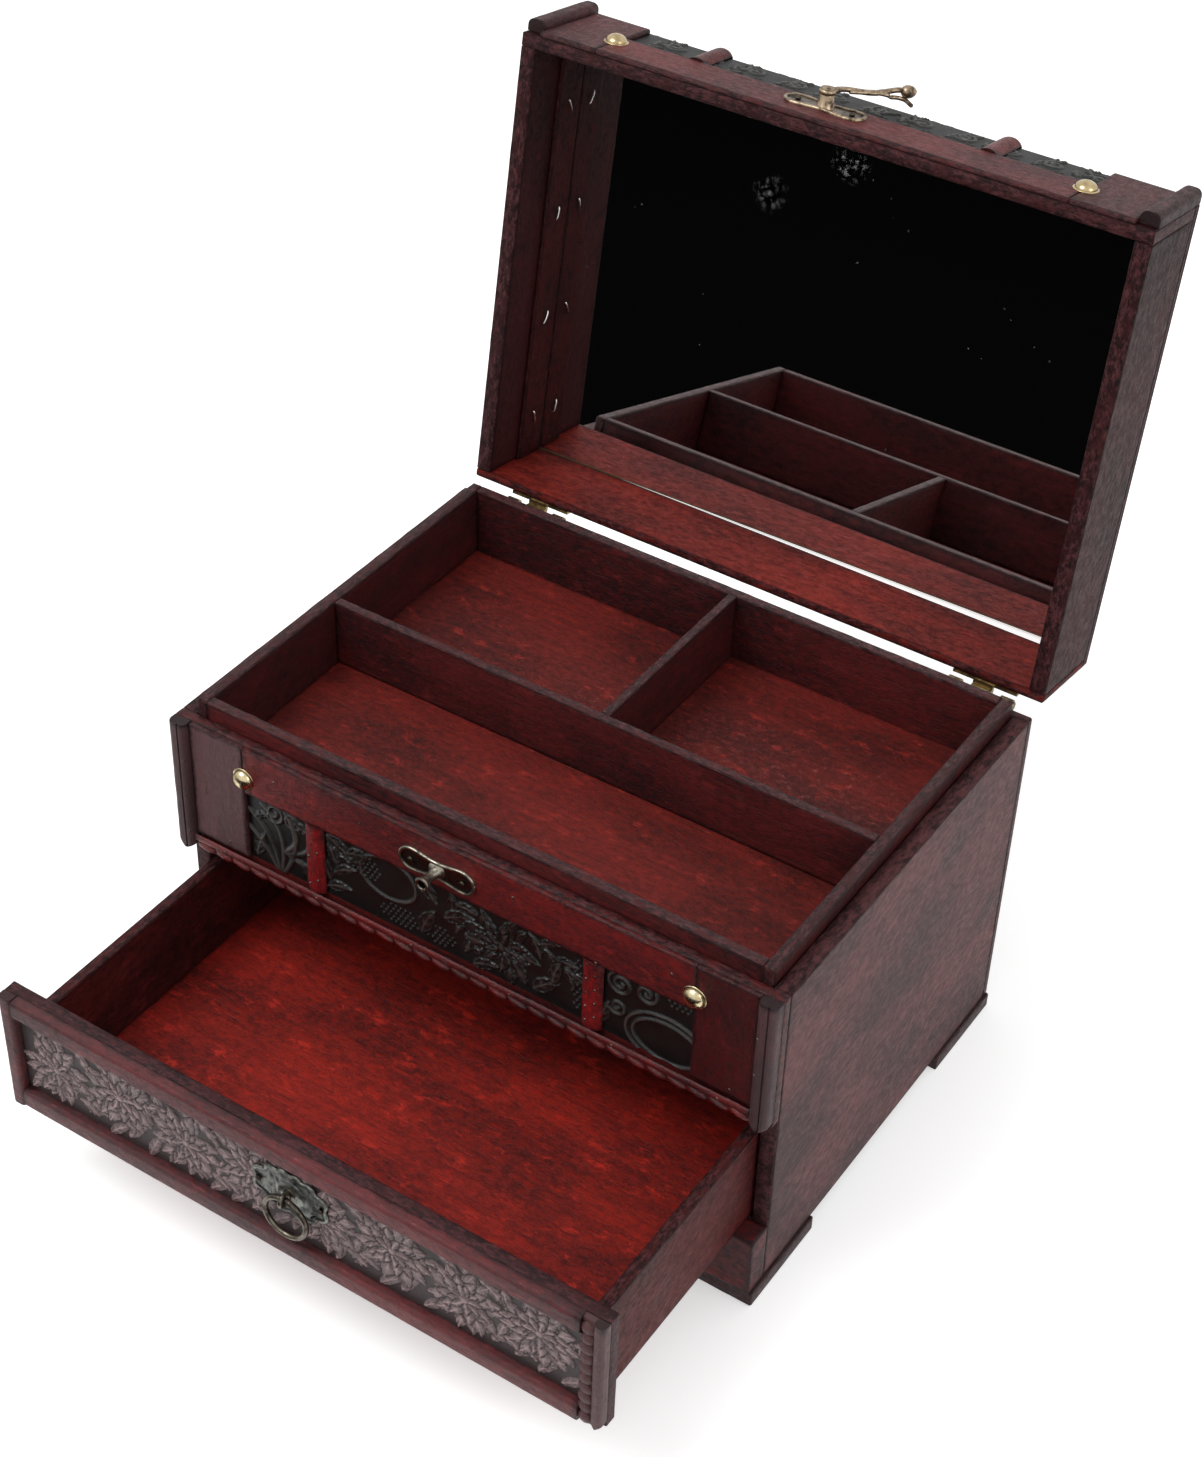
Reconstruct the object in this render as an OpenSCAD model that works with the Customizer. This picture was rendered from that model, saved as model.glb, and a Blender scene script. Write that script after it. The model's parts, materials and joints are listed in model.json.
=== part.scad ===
// Vanity box with a mirror lid, a divided tray and one drawer.
// The box stands on its feet at Z 0, with the origin in the middle of its outline as it stands open.
// X runs along the front, -Y is the front and Z is up. All sizes are millimetres.
// The lid is drawn open and the drawer pulled out; every piece is first placed as in the closed box.

/* [Case] */
// Width of the case
body_w = 250; // [220:1:300]
// Depth of the case, front mouldings included
body_d = 180; // [165:1:230]
// Height of the case rim above the floor
body_h = 144.5; // [138:0.5:180]
// Thickness of the two side panels
side_t = 6.5; // [5:0.1:9]
// Thickness of the back panel
back_t = 3.4; // [3:0.1:5]
// Thickness of the drawer bay's floor and ceiling
shelf_t = 3; // [2:0.1:5]
// Height of the plinth board above the feet
plinth_h = 26.5; // [20:0.5:32]
// Height of the feet
foot_h = 6.5; // [4:0.5:12]
// Length of a foot along the depth
foot_len = 43; // [25:1:60]
// Length of a foot along the front
foot_w = 40; // [25:1:60]
// How far a foot stands proud of the side
foot_proud = 1; // [0.5:0.1:3]

/* [Front trim] */
// Height of the fascia over the drawer
fascia_h = 58; // [54:0.5:64]
// Thickness of the fascia board
fascia_t = 4.2; // [4:0.1:6]
// Thickness of the plinth board
plinth_t = 10; // [6:0.1:12]
// Width of a corner moulding
corner_w = 7.5; // [5:0.1:12]
// Depth of a corner moulding
corner_d = 5; // [4:0.1:7]
// Height of the flat strip along the rim
strip_h = 20.5; // [16:0.1:24]
// Width of a flat stile
stile_w = 24; // [16:0.5:32]
// Thickness of strips and stiles
trim_t = 2; // [1.2:0.1:3]
// Thickness of the leather
leather_t = 0.8; // [0.5:0.1:1.4]
// Width of a strap
strap_w = 8.5; // [6:0.1:12]
// Height of a strap over the leather
strap_rise = 2.2; // [1.5:0.1:3]
// Middle of the left strap
strap_left_x = -63; // [-75:1:-50]
// Middle of the right strap
strap_right_x = 54; // [48:1:75]
// Height of the moulding along the fascia's lower edge
bead_h = 7; // [5:0.1:9]
// Depth of that moulding
bead_d = 4.2; // [3:0.1:5]
// Radius of a dome nail
nail_r = 4.8; // [3:0.1:5.5]
// Height of a dome nail
nail_rise = 3; // [1.5:0.1:4]
// Distance from the rim to the middle of a dome nail
nail_drop = 14; // [9:0.5:16]

/* [Tray] */
// How far the tray stands above the case rim
tray_rise = 6.8; // [4:0.1:10]
// Inside depth of the tray
tray_depth = 28; // [15:0.5:35]
// Thickness of the tray walls
tray_wall_t = 4.2; // [3:0.1:6]
// Thickness of the tray floor
tray_floor_t = 3; // [2:0.1:4]
// Thickness of the dividers
divider_t = 3.6; // [2.5:0.1:5]
// Middle of the long divider, behind the middle of the case
long_divider_y = -6; // [-30:1:30]
// Middle of the short divider
short_divider_x = 3.5; // [-40:0.5:40]
// Width and height of the cleats that carry the tray
cleat_s = 6; // [4:0.5:9]
// Gap between the tray and the case
tray_gap = 0.3; // [0.2:0.05:0.6]

/* [Lid] */
// How far the lid's front stands before the fascia
lid_over = 4.5; // [2:0.5:6]
// Height of the closed lid
lid_h = 39.5; // [34:0.5:60]
// Room between the lid's walls and the tray
lid_clear = 0.5; // [0.4:0.1:0.8]
// Thickness of the lid's front wall
lid_front_t = 5; // [3.5:0.1:5.5]
// Thickness of the lid's top panel
lid_panel_t = 2.5; // [2:0.1:4]
// Thickness of the trim on the lid's top
lid_trim_t = 1.5; // [1:0.1:2.5]
// Width of the frame on the lid's top
lid_frame_w = 16; // [10:0.5:24]
// Gap between the closed lid and the case rim
lid_gap = 0.5; // [0.3:0.1:1]
// Angle of the open lid
lid_open = 99.5; // [90:0.5:105]
// Thickness of the mirror
mirror_t = 2; // [1.5:0.1:3]
// Gap around the mirror
mirror_fit = 0.3; // [0.2:0.1:0.6]
// Widest part of the tapered gap along the mirror's hinge edge
mirror_taper = 3.6; // [0.5:0.1:6]
// Thickness of the white card behind the mirror
card_t = 0.5; // [0.3:0.1:1]
// Width of the slips that hold the mirror
slip_w = 15; // [8:0.5:20]
// Thickness of the slips
slip_t = 1.6; // [1:0.1:3]
// Length of a staple
staple_w = 5; // [3:0.5:8]
// Radius of the staple wire
staple_r = 0.35; // [0.25:0.05:0.6]
// How far a corner moulding stays back from the lid's rim
corner_setback = 3; // [1:0.5:6]

/* [Hinges] */
// Middle of the left hinge
hinge_left_x = -94; // [-105:1:-70]
// Middle of the right hinge
hinge_right_x = 102; // [70:1:105]
// Distance of the pin behind the back panel
hinge_back = 4; // [3.8:0.1:5]
// Distance of the pin below the case rim
hinge_drop = 2; // [1.5:0.1:3]
// Width of a hinge
hinge_w = 26; // [20:1:34]
// Length of a leaf, measured from the pin
leaf_h = 15; // [10:0.5:20]
// Thickness of a leaf
leaf_t = 1.2; // [0.8:0.1:1.5]
// Outer radius of a knuckle
knuckle_r = 2.3; // [2:0.1:2.5]
// Length of an outer knuckle
knuckle_w = 5; // [4:0.5:7]
// Length of the middle knuckle
middle_knuckle_w = 8; // [5:0.5:10]
// Radius of a hinge pin
pin_r = 1; // [0.7:0.05:1.2]
// Running gap around a hinge pin or a rivet
running_gap = 0.06; // [0.04:0.01:0.09]
// Radius of a screw head
screw_r = 1.9; // [1.4:0.1:2.4]

/* [Drawer] */
// How far the drawer stands open
drawer_out = 95; // [0:1:110]
// Length of the drawer behind its front
drawer_len = 158; // [120:1:160]
// Room between the drawer's sides and the ceiling of its bay
drawer_head = 14.7; // [10:0.1:30]
// Thickness of the drawer's sides and back
drawer_wall_t = 4.5; // [3.5:0.1:6]
// Thickness of the drawer's floor
drawer_floor_t = 3; // [2:0.1:4]
// Height of the drawer's floor above the lower edge of its sides
drawer_floor_lift = 2; // [1:0.1:4]
// Thickness of the drawer's front board
drawer_board_t = 5; // [4.5:0.1:5.5]
// Depth of the mouldings on the drawer's front
drawer_moulding_d = 4; // [3:0.1:4.5]
// Height of the mouldings along the drawer's front
drawer_moulding_h = 8.5; // [6:0.1:11]
// Width of the left end moulding
drawer_left_w = 6; // [4:0.1:10]
// Width of the carved right end moulding
drawer_right_w = 9; // [6:0.1:12]
// Gap on each side of the drawer
drawer_side_gap = 1; // [0.5:0.1:2]
// Gap under and behind the drawer
drawer_gap = 0.3; // [0.3:0.05:0.8]
// Gap above and below the drawer's front
drawer_front_gap = 0.6; // [0.4:0.1:1.5]

/* [Latch] */
// Middle of the keeper along the front
keeper_x = -9; // [-20:0.5:20]
// Distance of the keeper below the case rim
keeper_drop = 12.5; // [11:0.5:14]
// Distance from the hook's pivot down to the keeper post
hook_reach = 25.5; // [24:0.5:28]
// Sideways distance from the hook's pivot to the keeper post
hook_offset = 3.2; // [2.4:0.1:4]
// Length of the latch plates
plate_len = 32; // [28:0.5:38]
// Width of the latch plates
plate_w = 10.4; // [8:0.1:11]
// Thickness of the latch plates
plate_t = 1; // [0.6:0.1:1.5]
// Outer radius of the keeper post
post_r = 2.3; // [2:0.1:3]
// Radius of the hole in the keeper post
post_hole_r = 1.2; // [0.8:0.1:1.4]
// Thickness of the hook
hook_t = 1.8; // [1.2:0.1:2.4]
// Height of the hook's arm above its plate
hook_standoff = 4.2; // [3:0.1:5]
// How far the beak reaches down from the arm
beak_drop = 2.2; // [1.2:0.1:2.8]
// Radius of the hook's rivet
rivet_r = 1.5; // [1.2:0.1:1.8]
// Width of the hook's arm
hook_arm_w = 2.4; // [1.8:0.1:2.8]
// Gap between the hook and the keeper post
hook_gap = 0.5; // [0.4:0.1:1]
// Angle of the resting hook above the horizontal
hook_rest = 52; // [20:1:80]

/* [Pull] */
// Height of the pull's eye above the middle of the leather, as a share of the leather's height
eye_share = 0.11; // [0:0.01:0.16]
// Middle radius of the ring, as a share of the leather's height
ring_share = 0.244; // [0.2:0.002:0.26]
// Radius of the ring's wire
ring_wire_r = 1.1; // [0.9:0.05:1.3]
// Thickness of the eye
eye_t = 1.6; // [1.2:0.1:2]
// Gap between the ring and its eye
eye_gap = 0.45; // [0.35:0.05:0.6]
// Width of the back plate
pull_plate_w = 34; // [28:1:40]
// Height of the back plate, as a share of the leather's height
pull_plate_share = 0.6; // [0.45:0.01:0.66]

/* [Hidden] */

case_color = "#4a2226";
red_color = "#7a1516";
dark_color = "#3a2526";
leather_color = "#2c302c";
brass_color = "#7d6a45";
nail_color = "#c9b27a";
mirror_color = "#aab0b4";
card_color = "#f2f2f0";
steel_color = "#8c8c8a";

// Number of sides of a round surface, and of a thin wire
round_fn = 48;
wire_fn = 24;
// Smallest gap between two pieces that only pass each other
skin = 0.3;

// Pull, measured out from the leather on the drawer's front
pull_plate_t = 1;
eye_hole_r = ring_wire_r + eye_gap;
eye_out_r = eye_hole_r + eye_t;
eye_stand = eye_hole_r + eye_t / 2 + skin;

// How far the open lid and the open drawer reach past the case
lid_run = hinge_back + body_d - corner_d + lid_over + leather_t + strap_rise;
lid_rise = hinge_drop + lid_gap + lid_h + strap_rise;
lid_reach = hinge_back - lid_run * cos(lid_open) + lid_rise * sin(lid_open);
pull_stand = leather_t + pull_plate_t + eye_stand + eye_out_r;
drawer_reach = drawer_out + drawer_gap + drawer_board_t + pull_stand - corner_d - fascia_t;
case_y = (drawer_reach - lid_reach) / 2;

// Case planes
x_side = body_w / 2;
y_front = case_y - body_d / 2;
y_back = case_y + body_d / 2;
y_face = y_front + corner_d;
y_case = y_face + fascia_t;
x_in = x_side - side_t;
y_in = y_back - back_t;
bay_floor_z = foot_h + plinth_h;
fascia_z = body_h - fascia_h;
// The ceiling hides behind the fascia, with its underside above the fascia's lower edge
ceiling_hide = 4.5;
bay_ceiling_z = fascia_z + ceiling_hide;
x_corner = x_side - corner_w;
x_stile = x_corner - stile_w;
strip_z = body_h - strip_h;
bead_z = fascia_z + bead_h;
nail_z = body_h - nail_drop;
y_trim = y_face - trim_t;
y_leather = y_face - leather_t;
straps_x = [strap_left_x, strap_right_x];
// Share of a moulding's depth that its rounded edges take
edge_share = 0.45;

// Tray planes
tray_top_z = body_h + tray_rise;
tray_floor_z = tray_top_z - tray_depth;
tray_bottom_z = tray_floor_z - tray_floor_t;
tray_x = x_in - tray_gap;
tray_front_y = y_case + tray_gap;
tray_back_y = y_in - tray_gap;
tray_in_x = tray_x - tray_wall_t;
tray_in_front_y = tray_front_y + tray_wall_t;
tray_in_back_y = tray_back_y - tray_wall_t;
divider_y = case_y + long_divider_y;

// Lid planes, closed
rim_z = body_h + lid_gap;
lid_top_z = rim_z + lid_h;
lid_panel_top_z = lid_top_z - lid_trim_t;
lid_wall_top_z = lid_panel_top_z - lid_panel_t;
lid_in_x = tray_x + lid_clear;
y_lid_face = y_face - lid_over;
y_lid_trim = y_lid_face - trim_t;
y_lid_leather = y_lid_face - leather_t;
lid_in_front_y = y_lid_face + lid_front_t;
lid_in_back_y = tray_back_y + lid_clear;
card_z = lid_wall_top_z - card_t;
mirror_z = card_z - mirror_t;
slip_z = mirror_z - slip_w;
lid_strip_z = rim_z + strip_h;
lid_nail_z = rim_z + nail_drop;
lid_bead_z = rim_z + corner_setback;
staple_count = 4;
// Where the first staple sits, as a share of the step
staple_start = 0.6;

// Hinge line
hinge_y = y_back + hinge_back;
hinge_z = body_h - hinge_drop;
hinges_x = [hinge_left_x, hinge_right_x];
// Webs that join the knuckles to their leaves
web_drop = 0.9;
web_w = 1.6;
web_gap = 0.4;
bore_r = pin_r + running_gap;
// Heads of the pins and of the screws
pin_head_t = 0.6;
pin_head_r = pin_r + pin_head_t;
screw_rise = 0.9;
screw_inset = 4;
lid_leaf_foot = rim_z - hinge_z;

// Drawer planes, closed
drawer_back_of_front = y_case - drawer_gap;
drawer_face_y = drawer_back_of_front - drawer_board_t;
drawer_leather_y = drawer_face_y - leather_t;
drawer_bottom_z = bay_floor_z + drawer_front_gap;
drawer_top_z = fascia_z - drawer_front_gap;
drawer_side_z = bay_floor_z + drawer_gap;
drawer_side_top = bay_ceiling_z - drawer_head;
drawer_x = x_in - drawer_side_gap;
drawer_in_x = drawer_x - drawer_wall_t;
drawer_rear_y = drawer_back_of_front + drawer_len;
drawer_in_rear_y = drawer_rear_y - drawer_wall_t;
drawer_floor_z = drawer_side_z + drawer_floor_lift;
drawer_low_rail_z = drawer_bottom_z + drawer_moulding_h;
drawer_high_rail_z = drawer_top_z - drawer_moulding_h;
// Height of the leather on the drawer's front, which the pull's own sizes follow
drawer_leather_h = drawer_high_rail_z - drawer_low_rail_z;

// Latch
keeper_z = body_h - keeper_drop;
pivot_x = keeper_x + hook_offset;
pivot_z = keeper_z + hook_reach;
keeper_plate_y = y_trim - plate_t;
latch_plate_y = y_lid_trim - plate_t;
hook_y = latch_plate_y - hook_standoff;
post_short = 0.4;
post_tip_y = hook_y + post_short;
eye_r = rivet_r + running_gap;
boss_r = rivet_r * 2;
rivet_head_r = rivet_r * 1.7;
rivet_head_t = 0.8;
lobe_r = plate_w / 2;
lobe_x = plate_len / 2 - lobe_r;
middle_lobe_r = lobe_r * 0.86;
waist_w = plate_w * 0.62;
dish_r = lobe_r * 0.7;
dish_t = plate_t * 0.4;
pin_dome_r = 1.3;
pin_dome_rise = 0.8;
bend_in_r = post_r + hook_gap;
bend_out_r = bend_in_r + hook_arm_w * 0.8;
beak_len = 5;
neck_w = hook_arm_w * 0.8;
bulb_r = 2.6;
bulb_x = hook_reach + bend_out_r + bulb_r / 2;
bulb_drop = -hook_arm_w / 3;

// Pull
ring_r = drawer_leather_h * ring_share;
pull_plate_h = drawer_leather_h * pull_plate_share;
pull_lobe_r = pull_plate_h / 3;
pull_lobe_x = pull_plate_w / 2 - pull_lobe_r;
eye_z = (drawer_bottom_z + drawer_top_z) / 2 + drawer_leather_h * eye_share;
pull_plate_y = drawer_leather_y - pull_plate_t;
// Inset of the plate's pins, and the height of its waist as a share of its lobes
pull_pin_inset = 4;
pull_waist = 0.7;
// Washer under the eye
eye_washer_r = eye_out_r * 0.8;
eye_washer_t = 0.5;
eye_y = pull_plate_y - eye_stand;
pull_pin_x = pull_plate_w / 2 - pull_pin_inset;

// A board between two corners
module board(x0, x1, y0, y1, z0, z1) {
    translate([x0, y0, z0]) cube([x1 - x0, y1 - y0, z1 - z0]);
}

// The same piece on the left and on the right
module both_sides() {
    children();
    mirror([1, 0, 0]) children();
}

// The open lid, turned about the hinge pins
module opened_lid() {
    translate([0, hinge_y, hinge_z])
        rotate([-lid_open, 0, 0])
            translate([0, -hinge_y, -hinge_z])
                children();
}

// The drawer as it stands pulled out
module pulled_drawer() {
    translate([0, -drawer_out, 0]) children();
}

// A bar along Z, flat at the back, with its front edges rounded
module round_bar(width, depth, height, edge) {
    linear_extrude(height) {
        translate([-width / 2, -(depth - edge)]) square([width, depth - edge]);
        translate([-(width / 2 - edge), -depth]) square([width - 2 * edge, edge]);
        for (side = [-1, 1])
            translate([side * (width / 2 - edge), -(depth - edge)]) circle(edge, $fn = round_fn);
    }
}

// A half-round strap along Z, flat at the back
module half_round(width, depth, height) {
    half_w = width / 2;
    curve_r = (half_w * half_w + depth * depth) / (2 * depth);
    linear_extrude(height)
        intersection() {
            translate([0, curve_r - depth]) circle(curve_r, $fn = round_fn);
            translate([-width / 2, -depth]) square([width, depth]);
        }
}

// A dome on a face that looks along -Y
module dome(radius, rise) {
    ball_r = (radius * radius + rise * rise) / (2 * rise);
    rotate([90, 0, 0])
        intersection() {
            translate([0, 0, rise - ball_r]) sphere(ball_r, $fn = round_fn);
            cylinder(h = rise + 1, r = radius, $fn = round_fn);
        }
}

// A ring of round wire about the Z axis
module wire_ring(middle_r, wire_r) {
    rotate_extrude($fn = round_fn)
        translate([middle_r, 0]) circle(wire_r, $fn = wire_fn);
}

// Case
module side_panels() {
    color(case_color) both_sides() board(x_in, x_side, y_case, y_in, foot_h, body_h);
}

module back_panel() {
    color(case_color) board(-x_side, x_side, y_in, y_back, foot_h, body_h);
}

module bay_floor() {
    color(red_color) board(-x_in, x_in, y_case, y_in, bay_floor_z - shelf_t, bay_floor_z);
}

module bay_ceiling() {
    color(red_color) board(-x_in, x_in, y_case, y_in, bay_ceiling_z, bay_ceiling_z + shelf_t);
}

module fascia_board() {
    color(red_color) board(-x_side, x_side, y_face, y_case, fascia_z, body_h);
}

module plinth_board() {
    color(case_color) board(-x_side, x_side, y_case - plinth_t, y_case, foot_h, bay_floor_z);
}

module feet() {
    x_foot = x_side + foot_proud;
    color(dark_color) both_sides() {
        board(x_foot - foot_w, x_foot, y_front, y_front + foot_len, 0, foot_h);
        board(x_foot - foot_w, x_foot, y_back - foot_len, y_back, 0, foot_h);
    }
}

module fascia_rim_strip() {
    color(red_color) board(-x_stile, x_stile, y_trim, y_face, strip_z, body_h);
}

module fascia_stiles() {
    color(case_color) both_sides() board(x_stile, x_corner, y_trim, y_face, bead_z, body_h);
}

module fascia_leather() {
    color(leather_color) board(-x_stile, x_stile, y_leather, y_face, bead_z, strip_z);
}

module fascia_straps() {
    color(red_color)
        for (x = straps_x)
            translate([x, y_leather, bead_z]) half_round(strap_w, strap_rise, strip_z - bead_z);
}

module fascia_bead() {
    color(red_color)
        translate([-x_corner, y_face, fascia_z + bead_h / 2])
            rotate([0, 90, 0]) round_bar(bead_h, bead_d, 2 * x_corner, bead_d * edge_share);
}

module fascia_corner_mouldings() {
    color(dark_color) both_sides()
        translate([x_side - corner_w / 2, y_face, fascia_z])
            round_bar(corner_w, corner_d, fascia_h, corner_d / 2);
}

module fascia_dome_nails() {
    color(nail_color) both_sides() translate([x_stile, y_trim, nail_z]) dome(nail_r, nail_rise);
}

// The outline shared by the keeper and the latch plate, two round lobes and a narrow waist
module plate_outline() {
    for (side = [-1, 1])
        translate([side * lobe_x, 0]) circle(lobe_r, $fn = round_fn);
    translate([-lobe_x, -waist_w / 2]) square([2 * lobe_x, waist_w]);
    circle(middle_lobe_r, $fn = round_fn);
}

// A plate whose lobes are dished, on a face that looks along -Y
module lobed_plate() {
    rotate([90, 0, 0])
        difference() {
            linear_extrude(plate_t) plate_outline();
            for (side = [-1, 1])
                translate([side * lobe_x, 0, plate_t - dish_t])
                    cylinder(h = dish_t + 1, r = dish_r, $fn = round_fn);
        }
}

module lobe_pins() {
    for (side = [-1, 1])
        translate([side * lobe_x, dish_t, 0]) dome(pin_dome_r, pin_dome_rise);
}

module keeper_plate() {
    color(brass_color)
        translate([keeper_x, y_trim, keeper_z])
            difference() {
                union() {
                    lobed_plate();
                    rotate([90, 0, 0]) cylinder(h = y_trim - post_tip_y, r = post_r, $fn = round_fn);
                }
                translate([0, keeper_plate_y - y_trim - 1, 0])
                    rotate([90, 0, 0]) cylinder(h = y_trim - post_tip_y, r = post_hole_r, $fn = round_fn);
            }
}

module keeper_pins() {
    color(brass_color) translate([keeper_x, keeper_plate_y, keeper_z]) lobe_pins();
}

// Tray
module tray_side_walls() {
    color(red_color) both_sides()
        board(tray_in_x, tray_x, tray_front_y, tray_back_y, tray_bottom_z, tray_top_z);
}

module tray_end_walls() {
    color(red_color) {
        board(-tray_in_x, tray_in_x, tray_front_y, tray_in_front_y, tray_bottom_z, tray_top_z);
        board(-tray_in_x, tray_in_x, tray_in_back_y, tray_back_y, tray_bottom_z, tray_top_z);
    }
}

module tray_floor() {
    color(red_color)
        board(-tray_in_x, tray_in_x, tray_in_front_y, tray_in_back_y, tray_bottom_z, tray_floor_z);
}

module tray_long_divider() {
    color(red_color)
        board(-tray_in_x, tray_in_x, divider_y - divider_t / 2, divider_y + divider_t / 2,
            tray_floor_z, tray_top_z);
}

module tray_short_divider() {
    color(red_color)
        board(short_divider_x - divider_t / 2, short_divider_x + divider_t / 2,
            divider_y + divider_t / 2, tray_in_back_y, tray_floor_z, tray_top_z);
}

module tray_cleats() {
    color(case_color) both_sides()
        board(x_in - cleat_s, x_in, y_case, y_in, tray_bottom_z - cleat_s, tray_bottom_z);
}

// A knuckle and the web that joins it to its leaf; Y and Z run from the pin
module knuckle_profile(web_y, web_z) {
    difference() {
        union() {
            circle(knuckle_r, $fn = round_fn);
            translate([web_y, web_z]) square([-web_y - bore_r, web_w]);
        }
        circle(bore_r, $fn = round_fn);
    }
}

module leaf_plate(low, high) {
    board(-hinge_w / 2, hinge_w / 2, -hinge_back, -hinge_back + leaf_t, low, high);
}

// The profile drawn in Y and Z, run along X
module along_x(length) {
    translate([-length / 2, 0, 0])
        rotate([90, 0, 90]) linear_extrude(length) children();
}

module at_hinges() {
    for (x = hinges_x)
        translate([x, hinge_y, hinge_z]) children();
}

module hinge_case_leaves() {
    color(brass_color) at_hinges() {
        leaf_plate(-leaf_h, -web_drop);
        for (side = [-1, 1])
            translate([side * (hinge_w - knuckle_w) / 2, 0, 0])
                along_x(knuckle_w) knuckle_profile(-hinge_back, -web_drop - web_w);
    }
}

module hinge_lid_leaves() {
    color(brass_color) opened_lid() at_hinges() {
        leaf_plate(lid_leaf_foot, leaf_h);
        along_x(middle_knuckle_w) knuckle_profile(-hinge_back + web_gap, lid_leaf_foot - web_w);
    }
}

module hinge_pins() {
    color(brass_color) at_hinges() {
        along_x(hinge_w) circle(pin_r, $fn = round_fn);
        for (side = [-1, 1])
            translate([side * (hinge_w + pin_head_t) / 2, 0, 0])
                along_x(pin_head_t) circle(pin_head_r, $fn = round_fn);
    }
}

// Screw heads on a leaf that looks along +Y
module leaf_screws(z) {
    for (side = [-1, 1])
        translate([side * (hinge_w / 2 - screw_inset), -hinge_back + leaf_t, z])
            rotate([0, 0, 180]) dome(screw_r, screw_rise);
}

module hinge_case_screws() {
    color(brass_color) at_hinges() leaf_screws(-leaf_h + screw_inset);
}

module hinge_lid_screws() {
    color(brass_color) opened_lid() at_hinges() leaf_screws(leaf_h - screw_inset);
}

// Lid
module lid_front_wall() {
    color(dark_color) opened_lid()
        board(-x_side, x_side, y_lid_face, lid_in_front_y, rim_z, lid_wall_top_z);
}

module lid_back_wall() {
    color(dark_color) opened_lid()
        board(-x_side, x_side, lid_in_back_y, y_back, rim_z, lid_wall_top_z);
}

module lid_side_walls() {
    color(case_color) opened_lid() both_sides()
        board(lid_in_x, x_side, lid_in_front_y, lid_in_back_y, rim_z, lid_wall_top_z);
}

module lid_top_panel() {
    color(case_color) opened_lid()
        board(-x_side, x_side, y_lid_face, y_back, lid_wall_top_z, lid_panel_top_z);
}

// The glass is cut a little out of square, so a tapered gap shows along its hinge edge
module mirror_glass() {
    edge_x = lid_in_x - mirror_fit;
    front = lid_in_front_y + mirror_fit;
    back = lid_in_back_y - mirror_fit;
    color(mirror_color) opened_lid()
        translate([0, 0, mirror_z])
            linear_extrude(mirror_t)
                polygon([[-edge_x, front], [edge_x, front],
                    [edge_x, back - mirror_taper], [-edge_x, back]]);
}

module mirror_card() {
    color(card_color) opened_lid()
        board(-lid_in_x, lid_in_x, lid_in_front_y, lid_in_back_y, card_z, lid_wall_top_z);
}

module mirror_slips() {
    color(red_color) opened_lid() both_sides()
        board(lid_in_x - slip_t, lid_in_x, lid_in_front_y, lid_in_back_y, slip_z, mirror_z);
}

module slip_staples() {
    run = lid_in_back_y - lid_in_front_y;
    step = run / staple_count;
    color(steel_color) opened_lid() both_sides()
        for (i = [0 : staple_count - 1])
            translate([lid_in_x - slip_t - staple_r, lid_in_front_y + (i + staple_start) * step,
                slip_z + slip_w / 2])
                rotate([90, 0, 0]) cylinder(h = staple_w, r = staple_r, center = true, $fn = wire_fn);
}

module lid_rim_strip() {
    color(red_color) opened_lid() board(-x_stile, x_stile, y_lid_trim, y_lid_face, rim_z, lid_strip_z);
}

module lid_stiles() {
    color(case_color) opened_lid() both_sides()
        board(x_stile, x_corner, y_lid_trim, y_lid_face, rim_z, lid_panel_top_z);
}

module lid_front_leather() {
    color(leather_color) opened_lid()
        board(-x_stile, x_stile, y_lid_leather, y_lid_face, lid_strip_z, lid_panel_top_z);
}

// Each strap climbs the front and runs back over the top
module lid_straps() {
    color(red_color) opened_lid()
        for (x = straps_x) {
            translate([x, y_lid_leather, lid_strip_z])
                half_round(strap_w, strap_rise, lid_top_z + strap_rise - lid_strip_z);
            translate([x, y_lid_leather, lid_top_z])
                rotate([-90, 0, 0]) half_round(strap_w, strap_rise, y_back - y_lid_leather);
        }
}

module lid_corner_mouldings() {
    color(dark_color) opened_lid() both_sides()
        translate([x_side - corner_w / 2, y_lid_face, lid_bead_z])
            round_bar(corner_w, corner_d, lid_top_z - lid_bead_z, corner_d / 2);
}

module lid_dome_nails() {
    color(nail_color) opened_lid() both_sides()
        translate([x_stile, y_lid_trim, lid_nail_z]) dome(nail_r, nail_rise);
}

// Four strips round the leather on the lid's top
module lid_top_frame() {
    x_frame = x_side - lid_frame_w;
    color(case_color) opened_lid() {
        both_sides() board(x_frame, x_side, y_lid_face, y_back, lid_panel_top_z, lid_top_z);
        board(-x_frame, x_frame, y_back - lid_frame_w, y_back, lid_panel_top_z, lid_top_z);
    }
}

module lid_top_leather() {
    x_frame = x_side - lid_frame_w;
    color(leather_color) opened_lid()
        board(-x_frame, x_frame, y_lid_face, y_back - lid_frame_w, lid_panel_top_z, lid_top_z);
}

// Latch
module latch_plate() {
    color(brass_color) opened_lid()
        translate([pivot_x, y_lid_trim, pivot_z]) {
            lobed_plate();
            rotate([90, 0, 0]) {
                cylinder(h = plate_t + hook_standoff - running_gap, r = boss_r, $fn = round_fn);
                cylinder(h = plate_t + hook_standoff + hook_t + running_gap + rivet_head_t, r = rivet_r,
                    $fn = round_fn);
                translate([0, 0, plate_t + hook_standoff + hook_t + running_gap])
                    cylinder(h = rivet_head_t, r = rivet_head_r, $fn = round_fn);
            }
        }
}

module latch_pins() {
    color(brass_color) opened_lid() translate([pivot_x, latch_plate_y, pivot_z]) lobe_pins();
}

// The hook is drawn with its pivot at the origin and its arm along X; its mouth opens towards -Y
post_at = [hook_reach, -hook_offset];

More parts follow.
